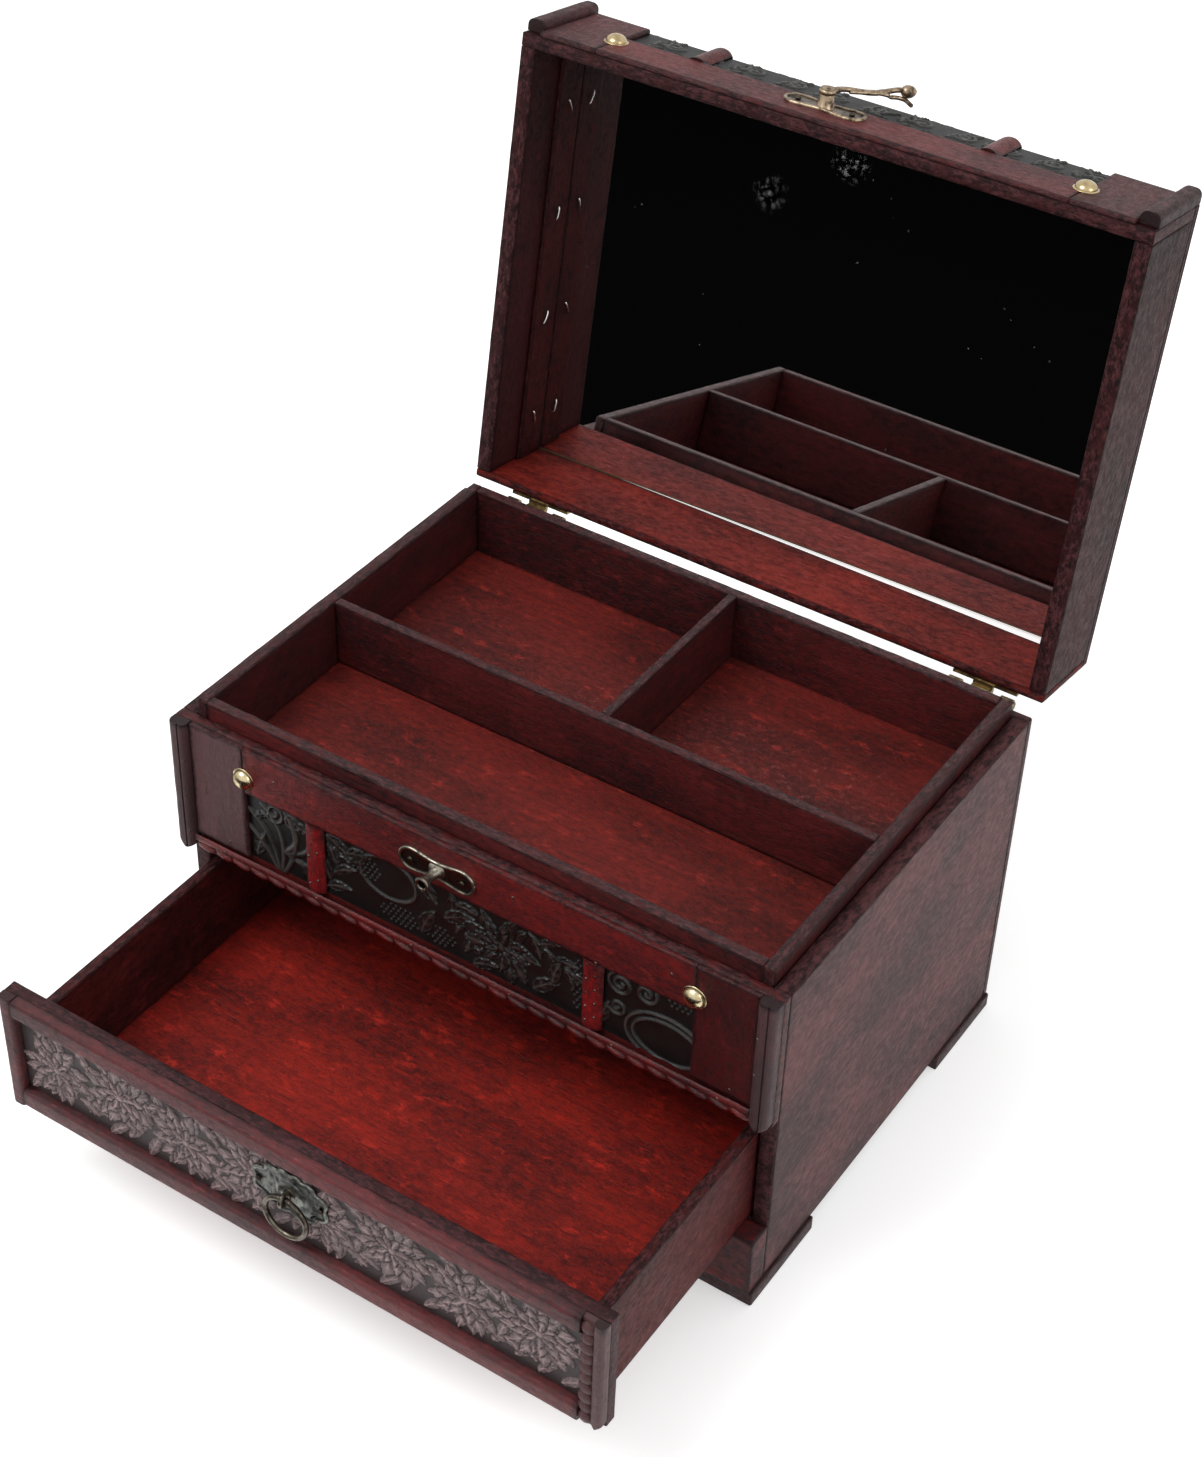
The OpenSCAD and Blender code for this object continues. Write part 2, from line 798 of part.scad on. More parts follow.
// The space that the keeper post sweeps and rests in
module post_room() {
    translate(post_at) circle(bend_in_r, $fn = round_fn);
    translate([post_at[0] - bend_in_r, post_at[1] - beak_len - 1])
        square([2 * bend_in_r, beak_len + 1]);
}

module beak_outline() {
    difference() {
        union() {
            intersection() {
                translate(post_at) circle(bend_out_r, $fn = round_fn);
                translate([post_at[0] - bend_out_r, post_at[1]]) square([2 * bend_out_r, bend_out_r]);
            }
            translate([post_at[0] + bend_in_r, post_at[1] - beak_len])
                square([bend_out_r - bend_in_r, beak_len]);
        }
        post_room();
    }
}

module arm_outline() {
    difference() {
        union() {
            circle(boss_r, $fn = round_fn);
            translate([0, -hook_arm_w / 2]) square([hook_reach, hook_arm_w]);
            translate([hook_reach, hook_arm_w / 2 - neck_w]) square([bulb_x - hook_reach, neck_w]);
            translate([bulb_x, bulb_drop]) circle(bulb_r, $fn = round_fn);
        }
        circle(eye_r, $fn = round_fn);
        post_room();
    }
}

module latch_hook() {
    color(brass_color) opened_lid()
        translate([pivot_x, hook_y, pivot_z])
            rotate([90, 0, 0])
                rotate([0, 0, hook_rest]) {
                    linear_extrude(hook_t) arm_outline();
                    translate([0, 0, -beak_drop]) linear_extrude(beak_drop + hook_t) beak_outline();
                }
}

// Drawer
module drawer_front_board() {
    color(dark_color) pulled_drawer()
        board(-x_side, x_side, drawer_face_y, drawer_back_of_front, drawer_bottom_z, drawer_top_z);
}

module drawer_side_walls() {
    color(red_color) pulled_drawer() both_sides()
        board(drawer_in_x, drawer_x, drawer_back_of_front, drawer_rear_y, drawer_side_z, drawer_side_top);
}

module drawer_back_wall() {
    color(red_color) pulled_drawer()
        board(-drawer_in_x, drawer_in_x, drawer_in_rear_y, drawer_rear_y, drawer_side_z, drawer_side_top);
}

module drawer_floor() {
    color(red_color) pulled_drawer()
        board(-drawer_in_x, drawer_in_x, drawer_back_of_front, drawer_in_rear_y,
            drawer_floor_z, drawer_floor_z + drawer_floor_t);
}

module drawer_rail_mouldings() {
    run = 2 * x_side - drawer_left_w - drawer_right_w;
    color(case_color) pulled_drawer()
        for (z = [drawer_bottom_z, drawer_high_rail_z])
            translate([-x_side + drawer_left_w, drawer_face_y, z + drawer_moulding_h / 2])
                rotate([0, 90, 0])
                    round_bar(drawer_moulding_h, drawer_moulding_d, run, drawer_moulding_d * edge_share);
}

module drawer_left_moulding() {
    color(case_color) pulled_drawer()
        translate([-x_side + drawer_left_w / 2, drawer_face_y, drawer_bottom_z])
            round_bar(drawer_left_w, drawer_moulding_d, drawer_top_z - drawer_bottom_z,
                drawer_moulding_d * edge_share);
}

module drawer_right_moulding() {
    color(dark_color) pulled_drawer()
        translate([x_side - drawer_right_w / 2, drawer_face_y, drawer_bottom_z])
            round_bar(drawer_right_w, drawer_moulding_d, drawer_top_z - drawer_bottom_z,
                drawer_moulding_d * edge_share);
}

module drawer_leather() {
    color(leather_color) pulled_drawer()
        board(-x_side + drawer_left_w, x_side - drawer_right_w, drawer_leather_y, drawer_face_y,
            drawer_low_rail_z, drawer_high_rail_z);
}

// Pull
module pull_plate() {
    color(brass_color) pulled_drawer()
        translate([0, drawer_leather_y, eye_z])
            rotate([90, 0, 0])
                linear_extrude(pull_plate_t) {
                    circle(pull_plate_h / 2, $fn = round_fn);
                    for (side = [-1, 1])
                        translate([side * pull_lobe_x, 0]) circle(pull_lobe_r, $fn = round_fn);
                    translate([-pull_lobe_x, -pull_lobe_r * pull_waist])
                        square([2 * pull_lobe_x, 2 * pull_lobe_r * pull_waist]);
                }
}

module pull_pins() {
    color(brass_color) pulled_drawer()
        for (side = [-1, 1])
            translate([side * pull_pin_x, pull_plate_y, eye_z]) dome(pin_dome_r, pin_dome_rise);
}

// An eye riveted through the plate on a washer; the ring turns in its bore
module pull_eye() {
    color(brass_color) pulled_drawer()
        translate([0, eye_y, eye_z]) {
            along_x(eye_t)
                difference() {
                    circle(eye_out_r, $fn = round_fn);
                    circle(eye_hole_r, $fn = round_fn);
                    translate([eye_stand, -eye_out_r]) square([eye_out_r, 2 * eye_out_r]);
                }
            translate([0, eye_stand, 0])
                rotate([90, 0, 0]) cylinder(h = eye_washer_t, r = eye_washer_r, $fn = round_fn);
        }
}

module pull_ring() {
    color(brass_color) pulled_drawer()
        translate([0, eye_y, eye_z - ring_r]) rotate([90, 0, 0]) wire_ring(ring_r, ring_wire_r);
}

side_panels();
back_panel();
bay_floor();
bay_ceiling();
fascia_board();
plinth_board();
feet();
fascia_rim_strip();
fascia_stiles();
fascia_leather();
fascia_straps();
fascia_bead();
fascia_corner_mouldings();
fascia_dome_nails();
keeper_plate();
keeper_pins();
tray_side_walls();
tray_end_walls();
tray_floor();
tray_long_divider();
tray_short_divider();
tray_cleats();
hinge_case_leaves();
hinge_case_screws();
hinge_pins();
lid_front_wall();
lid_back_wall();
lid_side_walls();
lid_top_panel();
mirror_glass();
mirror_card();
mirror_slips();
slip_staples();
lid_rim_strip();
lid_stiles();
lid_front_leather();
lid_straps();
lid_corner_mouldings();
lid_dome_nails();
lid_top_frame();
lid_top_leather();
latch_plate();
latch_pins();
hinge_lid_leaves();
hinge_lid_screws();
latch_hook();
drawer_front_board();
drawer_side_walls();
drawer_back_wall();
drawer_floor();
drawer_rail_mouldings();
drawer_left_moulding();
drawer_right_moulding();
drawer_leather();
pull_plate();
pull_pins();
pull_eye();
pull_ring();
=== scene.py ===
"""Dresses a vanity box: a case with a divided tray, a mirror lid, a swing-hook latch and one drawer.

Lengths are millimetres up to the moment a mesh is made. Pieces of the lid are drawn as in the
closed box and turned open about the hinge pins.
"""

import json
import logging
import math
from dataclasses import dataclass, field
from enum import Enum
from typing import Callable, Iterable, Sequence

import bmesh
import bpy
import numpy as np
from mathutils import Matrix, Vector, noise


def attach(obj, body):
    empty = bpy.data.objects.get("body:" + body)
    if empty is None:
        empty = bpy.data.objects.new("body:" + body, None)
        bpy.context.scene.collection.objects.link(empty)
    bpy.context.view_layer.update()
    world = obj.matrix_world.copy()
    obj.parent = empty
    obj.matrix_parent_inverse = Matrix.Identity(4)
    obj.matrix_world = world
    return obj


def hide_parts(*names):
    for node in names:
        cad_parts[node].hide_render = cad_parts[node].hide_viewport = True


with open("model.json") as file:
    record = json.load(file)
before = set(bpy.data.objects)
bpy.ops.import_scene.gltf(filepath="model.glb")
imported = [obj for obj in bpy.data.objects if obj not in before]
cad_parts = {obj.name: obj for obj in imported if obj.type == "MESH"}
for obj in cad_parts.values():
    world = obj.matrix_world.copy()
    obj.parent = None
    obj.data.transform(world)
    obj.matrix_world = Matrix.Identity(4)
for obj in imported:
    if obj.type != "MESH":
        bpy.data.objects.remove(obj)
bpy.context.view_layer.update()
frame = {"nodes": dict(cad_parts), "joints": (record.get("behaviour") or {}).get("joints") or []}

MM = 0.001
log = logging.getLogger("vanity_box")

Colour = tuple[float, float, float]
Points = np.ndarray


class Axis(Enum):
    """The three directions of the frame."""

    X = 0
    Y = 1
    Z = 2


class Body(Enum):
    """The moving bodies of the box."""

    CASE = "case"
    LID = "lid"
    HOOK = "hook"
    DRAWER = "drawer"
    RING = "ring"


class Slot(Enum):
    """Names for the kinds of finish on the box."""

    CASE_WOOD = "case_wood"
    RED_WOOD = "red_wood"
    DARK_WOOD = "dark_wood"
    LEATHER = "leather"
    ANTIQUE_BRASS = "antique_brass"
    BRIGHT_BRASS = "bright_brass"
    MIRROR = "mirror"
    CARD = "card"
    STEEL = "steel"


def srgb(text: str) -> Colour:
    """Turns a web colour such as "#7a1516" into linear red, green and blue."""
    parts = [int(text[i:i + 2], 16) / 255 for i in (1, 3, 5)]
    return tuple(c / 12.92 if c <= 0.04045 else ((c + 0.055) / 1.055) ** 2.4 for c in parts)


# The open lid, and the boxes of the CAD nodes


@dataclass(frozen=True)
class LidTurn:
    """The turn that opens the lid about its hinge pins."""

    pin: Vector
    angle: float

    @classmethod
    def read(cls) -> "LidTurn":
        """Reads the hinge from the frame's joints."""
        joint = next(j for j in frame["joints"] if j["name"] == "lid_hinge")
        return cls(Vector(joint["pos_m"]), math.radians(joint["range_deg"][1]))

    @property
    def matrix(self) -> Matrix:
        """Closed place to open place, in metres."""
        turn = Matrix.Rotation(-self.angle, 4, "X")
        return Matrix.Translation(self.pin) @ turn @ Matrix.Translation(-self.pin)


LID = LidTurn.read()


def loose_boxes(node: str, turned: bool = False) -> list[tuple[Points, Points]]:
    """Finds the box of each separate solid of a CAD node.

    Args:
        node: Name of the CAD node.
        turned: True for a node of the lid, whose boxes are wanted as in the closed box.

    Returns:
        Lowest and highest corners in millimetres, ordered by X, then Y, then Z.
    """
    mesh = bmesh.new()
    mesh.from_mesh(frame["nodes"][node].data)
    if turned:
        mesh.transform(LID.matrix.inverted())
    bmesh.ops.remove_doubles(mesh, verts=mesh.verts, dist=1e-6)
    boxes, seen = [], set()
    for start in mesh.verts:
        if start in seen:
            continue
        stack, group = [start], []
        seen.add(start)
        while stack:
            vert = stack.pop()
            group.append(vert.co[:])
            for edge in vert.link_edges:
                other = edge.other_vert(vert)
                if other not in seen:
                    seen.add(other)
                    stack.append(other)
        points = np.array(group) / MM
        boxes.append((points.min(0), points.max(0)))
    mesh.free()
    return sorted(boxes, key=lambda b: tuple(np.round(b[0], 2)))


def closed_box(node: str, turned: bool = False) -> tuple[Points, Points]:
    """Gives the box round the whole of a CAD node in millimetres, closed if turned is True."""
    boxes = loose_boxes(node, turned)
    return np.min([b[0] for b in boxes], axis=0), np.max([b[1] for b in boxes], axis=0)


# Shader graphs


class Graph:
    """A short hand for building one node tree."""

    def __init__(self, tree: bpy.types.NodeTree, prefix: str = "ShaderNode") -> None:
        """Keeps the tree and the prefix of its nodes' type names."""
        self.tree = tree
        self.prefix = prefix

    def add(self, kind: str, values: dict | None = None, **settings) -> bpy.types.Node:
        """Adds a node.

        Args:
            kind: Type name, without the graph's prefix if it has that one.
            values: Socket name or index to a value, or to the socket that feeds it.
            settings: Properties of the node itself, set before its sockets.

        Returns:
            The new node.
        """
        full = kind if kind.startswith(("ShaderNode", "GeometryNode", "FunctionNode", "NodeGroup")) else self.prefix + kind
        node = self.tree.nodes.new(full)
        for key, value in settings.items():
            setattr(node, key, value)
        for key, value in (values or {}).items():
            self.feed(node.inputs[key], value)
        return node

    def feed(self, socket: bpy.types.NodeSocket, value: object) -> None:
        """Links a socket to another one, or sets its plain value."""
        if isinstance(value, bpy.types.NodeSocket):
            self.tree.links.new(value, socket)
        elif isinstance(value, tuple) and len(value) == 3 and socket.type == "RGBA":
            socket.default_value = (*value, 1.0)
        else:
            socket.default_value = value

    def math(self, operation: str, *values: object, clamp: bool = False) -> bpy.types.NodeSocket:
        """Adds a Math node and gives its output."""
        return self.add("ShaderNodeMath", dict(enumerate(values)), operation=operation, use_clamp=clamp).outputs[0]

    def vector(self, operation: str, *values: object) -> bpy.types.NodeSocket:
        """Adds a Vector Math node and gives its vector output."""
        return self.add("ShaderNodeVectorMath", dict(enumerate(values)), operation=operation).outputs[0]

    def mix(self, share: object, a: object, b: object, blend: str = "MIX") -> bpy.types.NodeSocket:
        """Adds a colour Mix node and gives its output."""
        node = self.add("ShaderNodeMix", data_type="RGBA", blend_type=blend)
        for index, value in ((0, share), (6, a), (7, b)):
            self.feed(node.inputs[index], value)
        return node.outputs[2]

    def ramp(self, value: object, low: float, high: float, to_low: float = 0.0, to_high: float = 1.0) -> bpy.types.NodeSocket:
        """Adds a smooth Map Range node and gives its output."""
        node = self.add("ShaderNodeMapRange", {0: value, 1: low, 2: high, 3: to_low, 4: to_high}, interpolation_type="SMOOTHSTEP")
        return node.outputs[0]

    def noise(self, vector: object, scale: float, detail: float = 4.0, rough: float = 0.55) -> bpy.types.NodeSocket:
        """Adds a Noise Texture node and gives its factor."""
        return self.add("ShaderNodeTexNoise", {"Vector": vector, "Scale": scale, "Detail": detail, "Roughness": rough}).outputs[0]


def new_group(name: str, ins: dict[str, str], outs: dict[str, str]) -> tuple[Graph, bpy.types.Node, bpy.types.Node]:
    """Starts a shader node group.

    Args:
        name: Name of the group.
        ins: Input name to kind of socket, Vector, Float or Color.
        outs: Output name to kind of socket.

    Returns:
        The graph, its input node and its output node.
    """
    tree = bpy.data.node_groups.new(name, "ShaderNodeTree")
    for way, sockets in (("INPUT", ins), ("OUTPUT", outs)):
        for label, kind in sockets.items():
            tree.interface.new_socket(name=label, in_out=way, socket_type="NodeSocket" + kind)
    graph = Graph(tree)
    return graph, graph.add("NodeGroupInput"), graph.add("NodeGroupOutput")


def grain_group() -> bpy.types.ShaderNodeTree:
    """Builds the stained grain: broad blotches, fine mottling, long streaks, pores and bright flecks."""
    g, i, o = new_group("StainedGrain", {"Vector": "Vector", "Along": "Vector", "Seed": "Float"},
                        {"Blotch": "Float", "Mottle": "Float", "Streak": "Float", "Pores": "Float", "Fleck": "Float"})
    seed = i.outputs["Seed"]
    placed = g.vector("ADD", i.outputs["Vector"], g.add("ShaderNodeCombineXYZ", {0: seed, 1: seed, 2: seed}).outputs[0])

    def along(share: float) -> bpy.types.NodeSocket:
        """Draws the pattern out along the grain by leaving a share of that direction away."""
        less = g.vector("MULTIPLY_ADD", i.outputs["Along"], (-share,) * 3, (1.0, 1.0, 1.0))
        return g.vector("MULTIPLY", placed, less)

    g.feed(o.inputs["Blotch"], g.ramp(g.noise(along(0.55), 30.0, 5.0, 0.62), 0.36, 0.66))
    g.feed(o.inputs["Mottle"], g.ramp(g.noise(along(0.35), 430.0, 7.0, 0.76), 0.36, 0.66))
    g.feed(o.inputs["Streak"], g.ramp(g.noise(along(0.95), 620.0, 5.0, 0.66), 0.44, 0.68))
    g.feed(o.inputs["Pores"], g.ramp(g.noise(along(0.9), 1500.0, 2.0, 0.5), 0.6, 0.74))
    aside = g.vector("ADD", along(0.45), (3.1, 5.7, 1.3))
    g.feed(o.inputs["Fleck"], g.ramp(g.noise(aside, 170.0, 7.0, 0.74), 0.54, 0.68))
    return g.tree


def wear_group() -> bpy.types.ShaderNodeTree:
    """Builds the wear: dark rubbed edges, and on mouldings darker flanks towards the board, from the piece's own
    attributes, and scuffs drawn out along the board.
    """
    g, i, o = new_group("EdgeWear", {"Vector": "Vector", "Along": "Vector"},
                        {"Edge": "Float", "Rim": "Float", "Scuff": "Float", "Redden": "Float"})
    edge = g.add("ShaderNodeAttribute", attribute_name="edge").outputs["Fac"]
    rim = g.add("ShaderNodeAttribute", attribute_name="rim").outputs["Fac"]
    patchy = g.noise(i.outputs["Vector"], 230.0, 6.0, 0.75)
    g.feed(o.inputs["Edge"], g.ramp(g.math("ADD", edge, g.math("MULTIPLY_ADD", patchy, 1.5, -0.75)), 0.4, 0.95))
    g.feed(o.inputs["Rim"], rim)
    drawn = g.vector("MULTIPLY", i.outputs["Vector"], g.vector("MULTIPLY_ADD", i.outputs["Along"], (-0.55,) * 3, (1.0,) * 3))
    g.feed(o.inputs["Scuff"], g.ramp(g.noise(drawn, 680.0, 7.0, 0.82), 0.44, 0.6))
    g.feed(o.inputs["Redden"], g.ramp(g.noise(drawn, 260.0, 6.0, 0.72), 0.47, 0.6))
    return g.tree


def dust_group() -> bpy.types.ShaderNodeTree:
    """Builds fine dust: rare specks and soft patches."""
    g, i, o = new_group("FineDust", {"Vector": "Vector", "Specks": "Float"}, {"Speck": "Float", "Patch": "Float"})
    cells = g.add("ShaderNodeTexVoronoi", {"Vector": i.outputs["Vector"], "Scale": 210.0, "Randomness": 1.0})
    near = g.ramp(cells.outputs["Distance"], 0.05, 0.09, 1.0, 0.0)
    chosen = g.math("GREATER_THAN", g.noise(i.outputs["Vector"], 38.0, 2.0, 0.5), i.outputs["Specks"])
    g.feed(o.inputs["Speck"], g.math("MULTIPLY", near, chosen))
    g.feed(o.inputs["Patch"], g.ramp(g.noise(i.outputs["Vector"], 60.0, 4.0, 0.6), 0.4, 0.7))
    return g.tree


class Groups:
    """The shared shader groups, each built once."""

    made: dict[str, bpy.types.ShaderNodeTree] = {}

    @classmethod
    def get(cls, maker: Callable[[], bpy.types.ShaderNodeTree]) -> bpy.types.ShaderNodeTree:
        """Gives the group that maker builds, building it the first time."""
        key = maker.__name__
        if key not in cls.made:
            cls.made[key] = maker()
        return cls.made[key]


def start_material(name: str, lid: bool) -> tuple[bpy.types.Material, Graph, bpy.types.Node, bpy.types.NodeSocket]:
    """Starts a material.

    Args:
        name: Name of the material.
        lid: True if the piece is on the open lid, so that the pattern turns back to the closed box.

    Returns:
        The material, its graph, its Principled node and the coordinates to read.
    """
    material = bpy.data.materials.new(name)
    material.use_nodes = True
    g = Graph(material.node_tree)
    shader = g.tree.nodes["Principled BSDF"]
    place = g.add("TexCoord").outputs["Object"]
    if lid:
        turn = Matrix.Rotation(LID.angle, 3, "X")
        place = g.add("Mapping", {"Vector": place, "Location": LID.pin - turn @ LID.pin, "Rotation": (LID.angle, 0.0, 0.0)}).outputs[0]
    return material, g, shader, place


@dataclass(frozen=True)
class Wood:
    """Red stained wood, mottled and darkened, with rubbed grey-black edges, and on some pieces a pale veil that is
    partly haze and partly painted sheen.
    """

    name: str
    bright: Colour
    deep: Colour
    rim: Colour = srgb("#1b0f10")
    scuff: Colour = srgb("#542f31")
    haze_and_sheen: Colour = srgb("#6c5354")
    along: Axis = Axis.X
    blotch: float = 0.6
    mottle: float = 0.55
    streaks: float = 0.35
    flecks: float = 0.4
    haze_and_sheen_share: float = 0.0
    edge: float = 0.85
    rough: float = 0.5
    shine: float = 0.2
    seed: float = 0.0
    lid: bool = False

    def build(self) -> bpy.types.Material:
        """Makes the material."""
        material, g, shader, place = start_material(self.name, self.lid)
        along = tuple(1.0 if axis is self.along else 0.0 for axis in Axis)
        grain = g.add("Group", node_tree=Groups.get(grain_group))
        wear = g.add("Group", node_tree=Groups.get(wear_group))
        for key, value in (("Vector", place), ("Along", along), ("Seed", self.seed)):
            g.feed(grain.inputs[key], value)
        g.feed(wear.inputs["Vector"], place)
        g.feed(wear.inputs["Along"], along)
        blotch, mottle, streak, pores, fleck = (grain.outputs[key] for key in ("Blotch", "Mottle", "Streak", "Pores", "Fleck"))
        darkness = g.math("MULTIPLY_ADD", blotch, self.blotch, g.math("MULTIPLY", mottle, self.mottle), clamp=True)
        stain = g.mix(darkness, self.bright, self.deep)
        stain = g.mix(g.math("MULTIPLY", fleck, self.flecks), stain, tuple(min(1.0, c * 1.75) for c in self.bright))
        stain = g.mix(g.math("MULTIPLY", streak, self.streaks), stain, self.deep)
        # A pale mauve-grey veil over the stain: partly haze on the old finish, partly painted sheen.
        if self.haze_and_sheen_share > 0:
            haze_and_sheen_film = g.math("MULTIPLY", g.math("MULTIPLY_ADD", mottle, 0.45, 0.55), self.haze_and_sheen_share)
            stain = g.mix(haze_and_sheen_film, stain, self.haze_and_sheen)
        black = tuple(0.4 * (a + b) for a, b in zip(self.deep, self.rim))
        stain = g.mix(g.math("MULTIPLY", pores, 0.35), stain, black)
        rubbed = g.mix(wear.outputs["Scuff"], self.rim, self.scuff)
        rubbed = g.mix(g.math("MULTIPLY", wear.outputs["Redden"], 0.7), rubbed, g.mix(0.55, self.deep, self.bright))
        stain = g.mix(g.math("MULTIPLY", wear.outputs["Edge"], self.edge), stain, black)
        stain = g.mix(g.math("MULTIPLY", wear.outputs["Rim"], self.edge), stain, rubbed)
        g.feed(shader.inputs["Base Color"], stain)
        g.feed(shader.inputs["Roughness"], g.math("MULTIPLY_ADD", mottle, 0.16, self.rough - 0.08))
        height = g.math("MULTIPLY_ADD", mottle, -0.5, g.math("MULTIPLY", pores, -0.5))
        bump = g.add("Bump", {"Strength": 0.6, "Distance": 0.0005, "Height": height})
        g.feed(shader.inputs["Normal"], bump.outputs[0])
        shader.inputs["Specular IOR Level"].default_value = self.shine
        return material


@dataclass(frozen=True)
class Leather:
    """Embossed leather, dark in its grooves and rubbed lighter on its raised strokes."""

    name: str
    ground: Colour
    raised: Colour
    rough: float = 0.4
    shine: float = 0.35
    lid: bool = False

    def build(self) -> bpy.types.Material:
        """Makes the material."""
        material, g, shader, place = start_material(self.name, self.lid)
        relief = g.add("ShaderNodeAttribute", attribute_name="relief").outputs["Fac"]
        cells = g.add("ShaderNodeTexVoronoi", {"Vector": place, "Scale": 1300.0}, feature="DISTANCE_TO_EDGE").outputs["Distance"]
        patchy = g.noise(place, 110.0, 6.0, 0.7)
        rub = g.math("MULTIPLY", g.ramp(relief, 0.55, 1.0), g.ramp(patchy, 0.34, 0.6, 0.15, 1.0))
        colour = g.mix(rub, g.mix(g.ramp(relief, 0.0, 0.3), tuple(c * 0.3 for c in self.ground), self.ground), self.raised)
        g.feed(shader.inputs["Base Color"], colour)
        smooth = g.math("MULTIPLY_ADD", patchy, 0.3, self.rough - 0.15)
        g.feed(shader.inputs["Roughness"], g.math("ADD", smooth, g.ramp(relief, 0.1, 0.5, 0.12, 0.0)))
        bump = g.add("Bump", {"Strength": 0.3, "Distance": 0.0002, "Height": g.ramp(cells, 0.0, 0.16)})
        g.feed(shader.inputs["Normal"], bump.outputs[0])
        shader.inputs["Specular IOR Level"].default_value = self.shine
        return material


@dataclass(frozen=True)
class Metal:
    """Brass or steel with a patina that sits in patches and hollows, the hollows darkened nearly to black with patina
    and painted shade.
    """

    name: str
    clean: Colour
    aged: Colour
    patina: float
    rough: float
    lid: bool = False

    def build(self) -> bpy.types.Material:
        """Makes the material."""
        material, g, shader, place = start_material(self.name, self.lid)
        dust = g.add("Group", node_tree=Groups.get(dust_group))
        g.feed(dust.inputs["Vector"], g.vector("MULTIPLY", place, (6.0, 6.0, 6.0)))
        dust.inputs["Specks"].default_value = 0.6
        hollow = g.add("ShaderNodeAttribute", attribute_name="hollow").outputs["Fac"]
        aged = g.math("MULTIPLY", dust.outputs["Patch"], self.patina)
        worn = g.mix(aged, self.clean, self.aged)
        # Hollow points go nearly black: patina, and painted shade in the recesses, bores and where a plate meets the
        # wood.
        g.feed(shader.inputs["Base Color"], g.mix(g.math("MULTIPLY", hollow, 0.94), worn, tuple(c * 0.2 for c in self.aged)))
        g.feed(shader.inputs["Roughness"], g.math("ADD", g.math("MULTIPLY", aged, 0.28), self.rough))
        shader.inputs["Metallic"].default_value = 1.0
        bump = g.add("Bump", {"Strength": 0.2, "Distance": 0.0002, "Height": g.noise(place, 900.0, 3.0)})
        g.feed(shader.inputs["Normal"], bump.outputs[0])
        return material


@dataclass(frozen=True)
class MirrorGlass:
    """A silvered mirror with a little dust and two faint pale spots painted on the silver."""

    name: str = "mirror_silver"
    tone: Colour = (0.86, 0.87, 0.87)
    pale_spots: tuple[tuple[float, float, float, float], ...] = ()

    def build(self) -> bpy.types.Material:
        """Makes the material."""
        material, g, shader, place = start_material(self.name, True)
        dust = g.add("Group", node_tree=Groups.get(dust_group))
        g.feed(dust.inputs["Vector"], place)
        dust.inputs["Specks"].default_value = 0.6
        dirt = g.math("MULTIPLY", dust.outputs["Speck"], 0.1)
        # Each spot is a soft pale cloud painted into the silver's colour.
        for x, y, radius, strength in self.pale_spots:
            flat = g.vector("MULTIPLY", place, (1.0, 1.0, 0.0))
            away = g.add("ShaderNodeVectorMath", {0: flat, 1: (x * MM, y * MM, 0.0)}, operation="DISTANCE").outputs["Value"]
            cloud = g.ramp(g.noise(place, 420.0, 5.0, 0.75), 0.5, 0.68)
            spot = g.math("MULTIPLY", g.ramp(away, radius * 0.25 * MM, radius * MM, 1.0, 0.0), cloud)
            dirt = g.math("MAXIMUM", dirt, g.math("MULTIPLY", spot, strength))
        g.feed(shader.inputs["Base Color"], g.mix(dirt, self.tone, (0.7, 0.7, 0.7)))
        g.feed(shader.inputs["Metallic"], g.math("SUBTRACT", 1.0, dirt))
        g.feed(shader.inputs["Roughness"], g.math("ADD", g.math("MULTIPLY", dirt, 0.5), 0.012))
        return material


@dataclass(frozen=True)
class Plain:
    """Card, or the ground edge of the glass: one colour with a faint fibre or ripple, and an optional painted glow that
    lights it though it is no lamp.
    """

    name: str
    tone: Colour
    rough: float = 0.7
    painted_glow: float = 0.0
    lid: bool = True

    def build(self) -> bpy.types.Material:
        """Makes the material."""
        material, g, shader, place = start_material(self.name, self.lid)
        fibre = g.noise(place, 700.0, 4.0, 0.6)
        g.feed(shader.inputs["Base Color"], g.mix(g.ramp(fibre, 0.3, 0.8), self.tone, tuple(c * 0.93 for c in self.tone)))
        shader.inputs["Roughness"].default_value = self.rough
        # Emission here is a painted glow, not a lamp: it brightens the card where shade falls.
        shader.inputs["Emission Color"].default_value = (*self.tone, 1.0)
        shader.inputs["Emission Strength"].default_value = self.painted_glow
        return material


class Palette:
    """All the finishes of the box, each made the first time it is asked for."""

    made: dict[str, bpy.types.Material] = {}

    @classmethod
    def get(cls, finish: Wood | Leather | Metal | MirrorGlass | Plain) -> bpy.types.Material:
        """Gives the material of a finish."""
        if finish.name not in cls.made:
            cls.made[finish.name] = finish.build()
        return cls.made[finish.name]


MAROON = srgb("#6a1b1a")
MAROON_DEEP = srgb("#2c1213")
PLUM = srgb("#5a3234")
PLUM_DEEP = srgb("#2b1a1c")

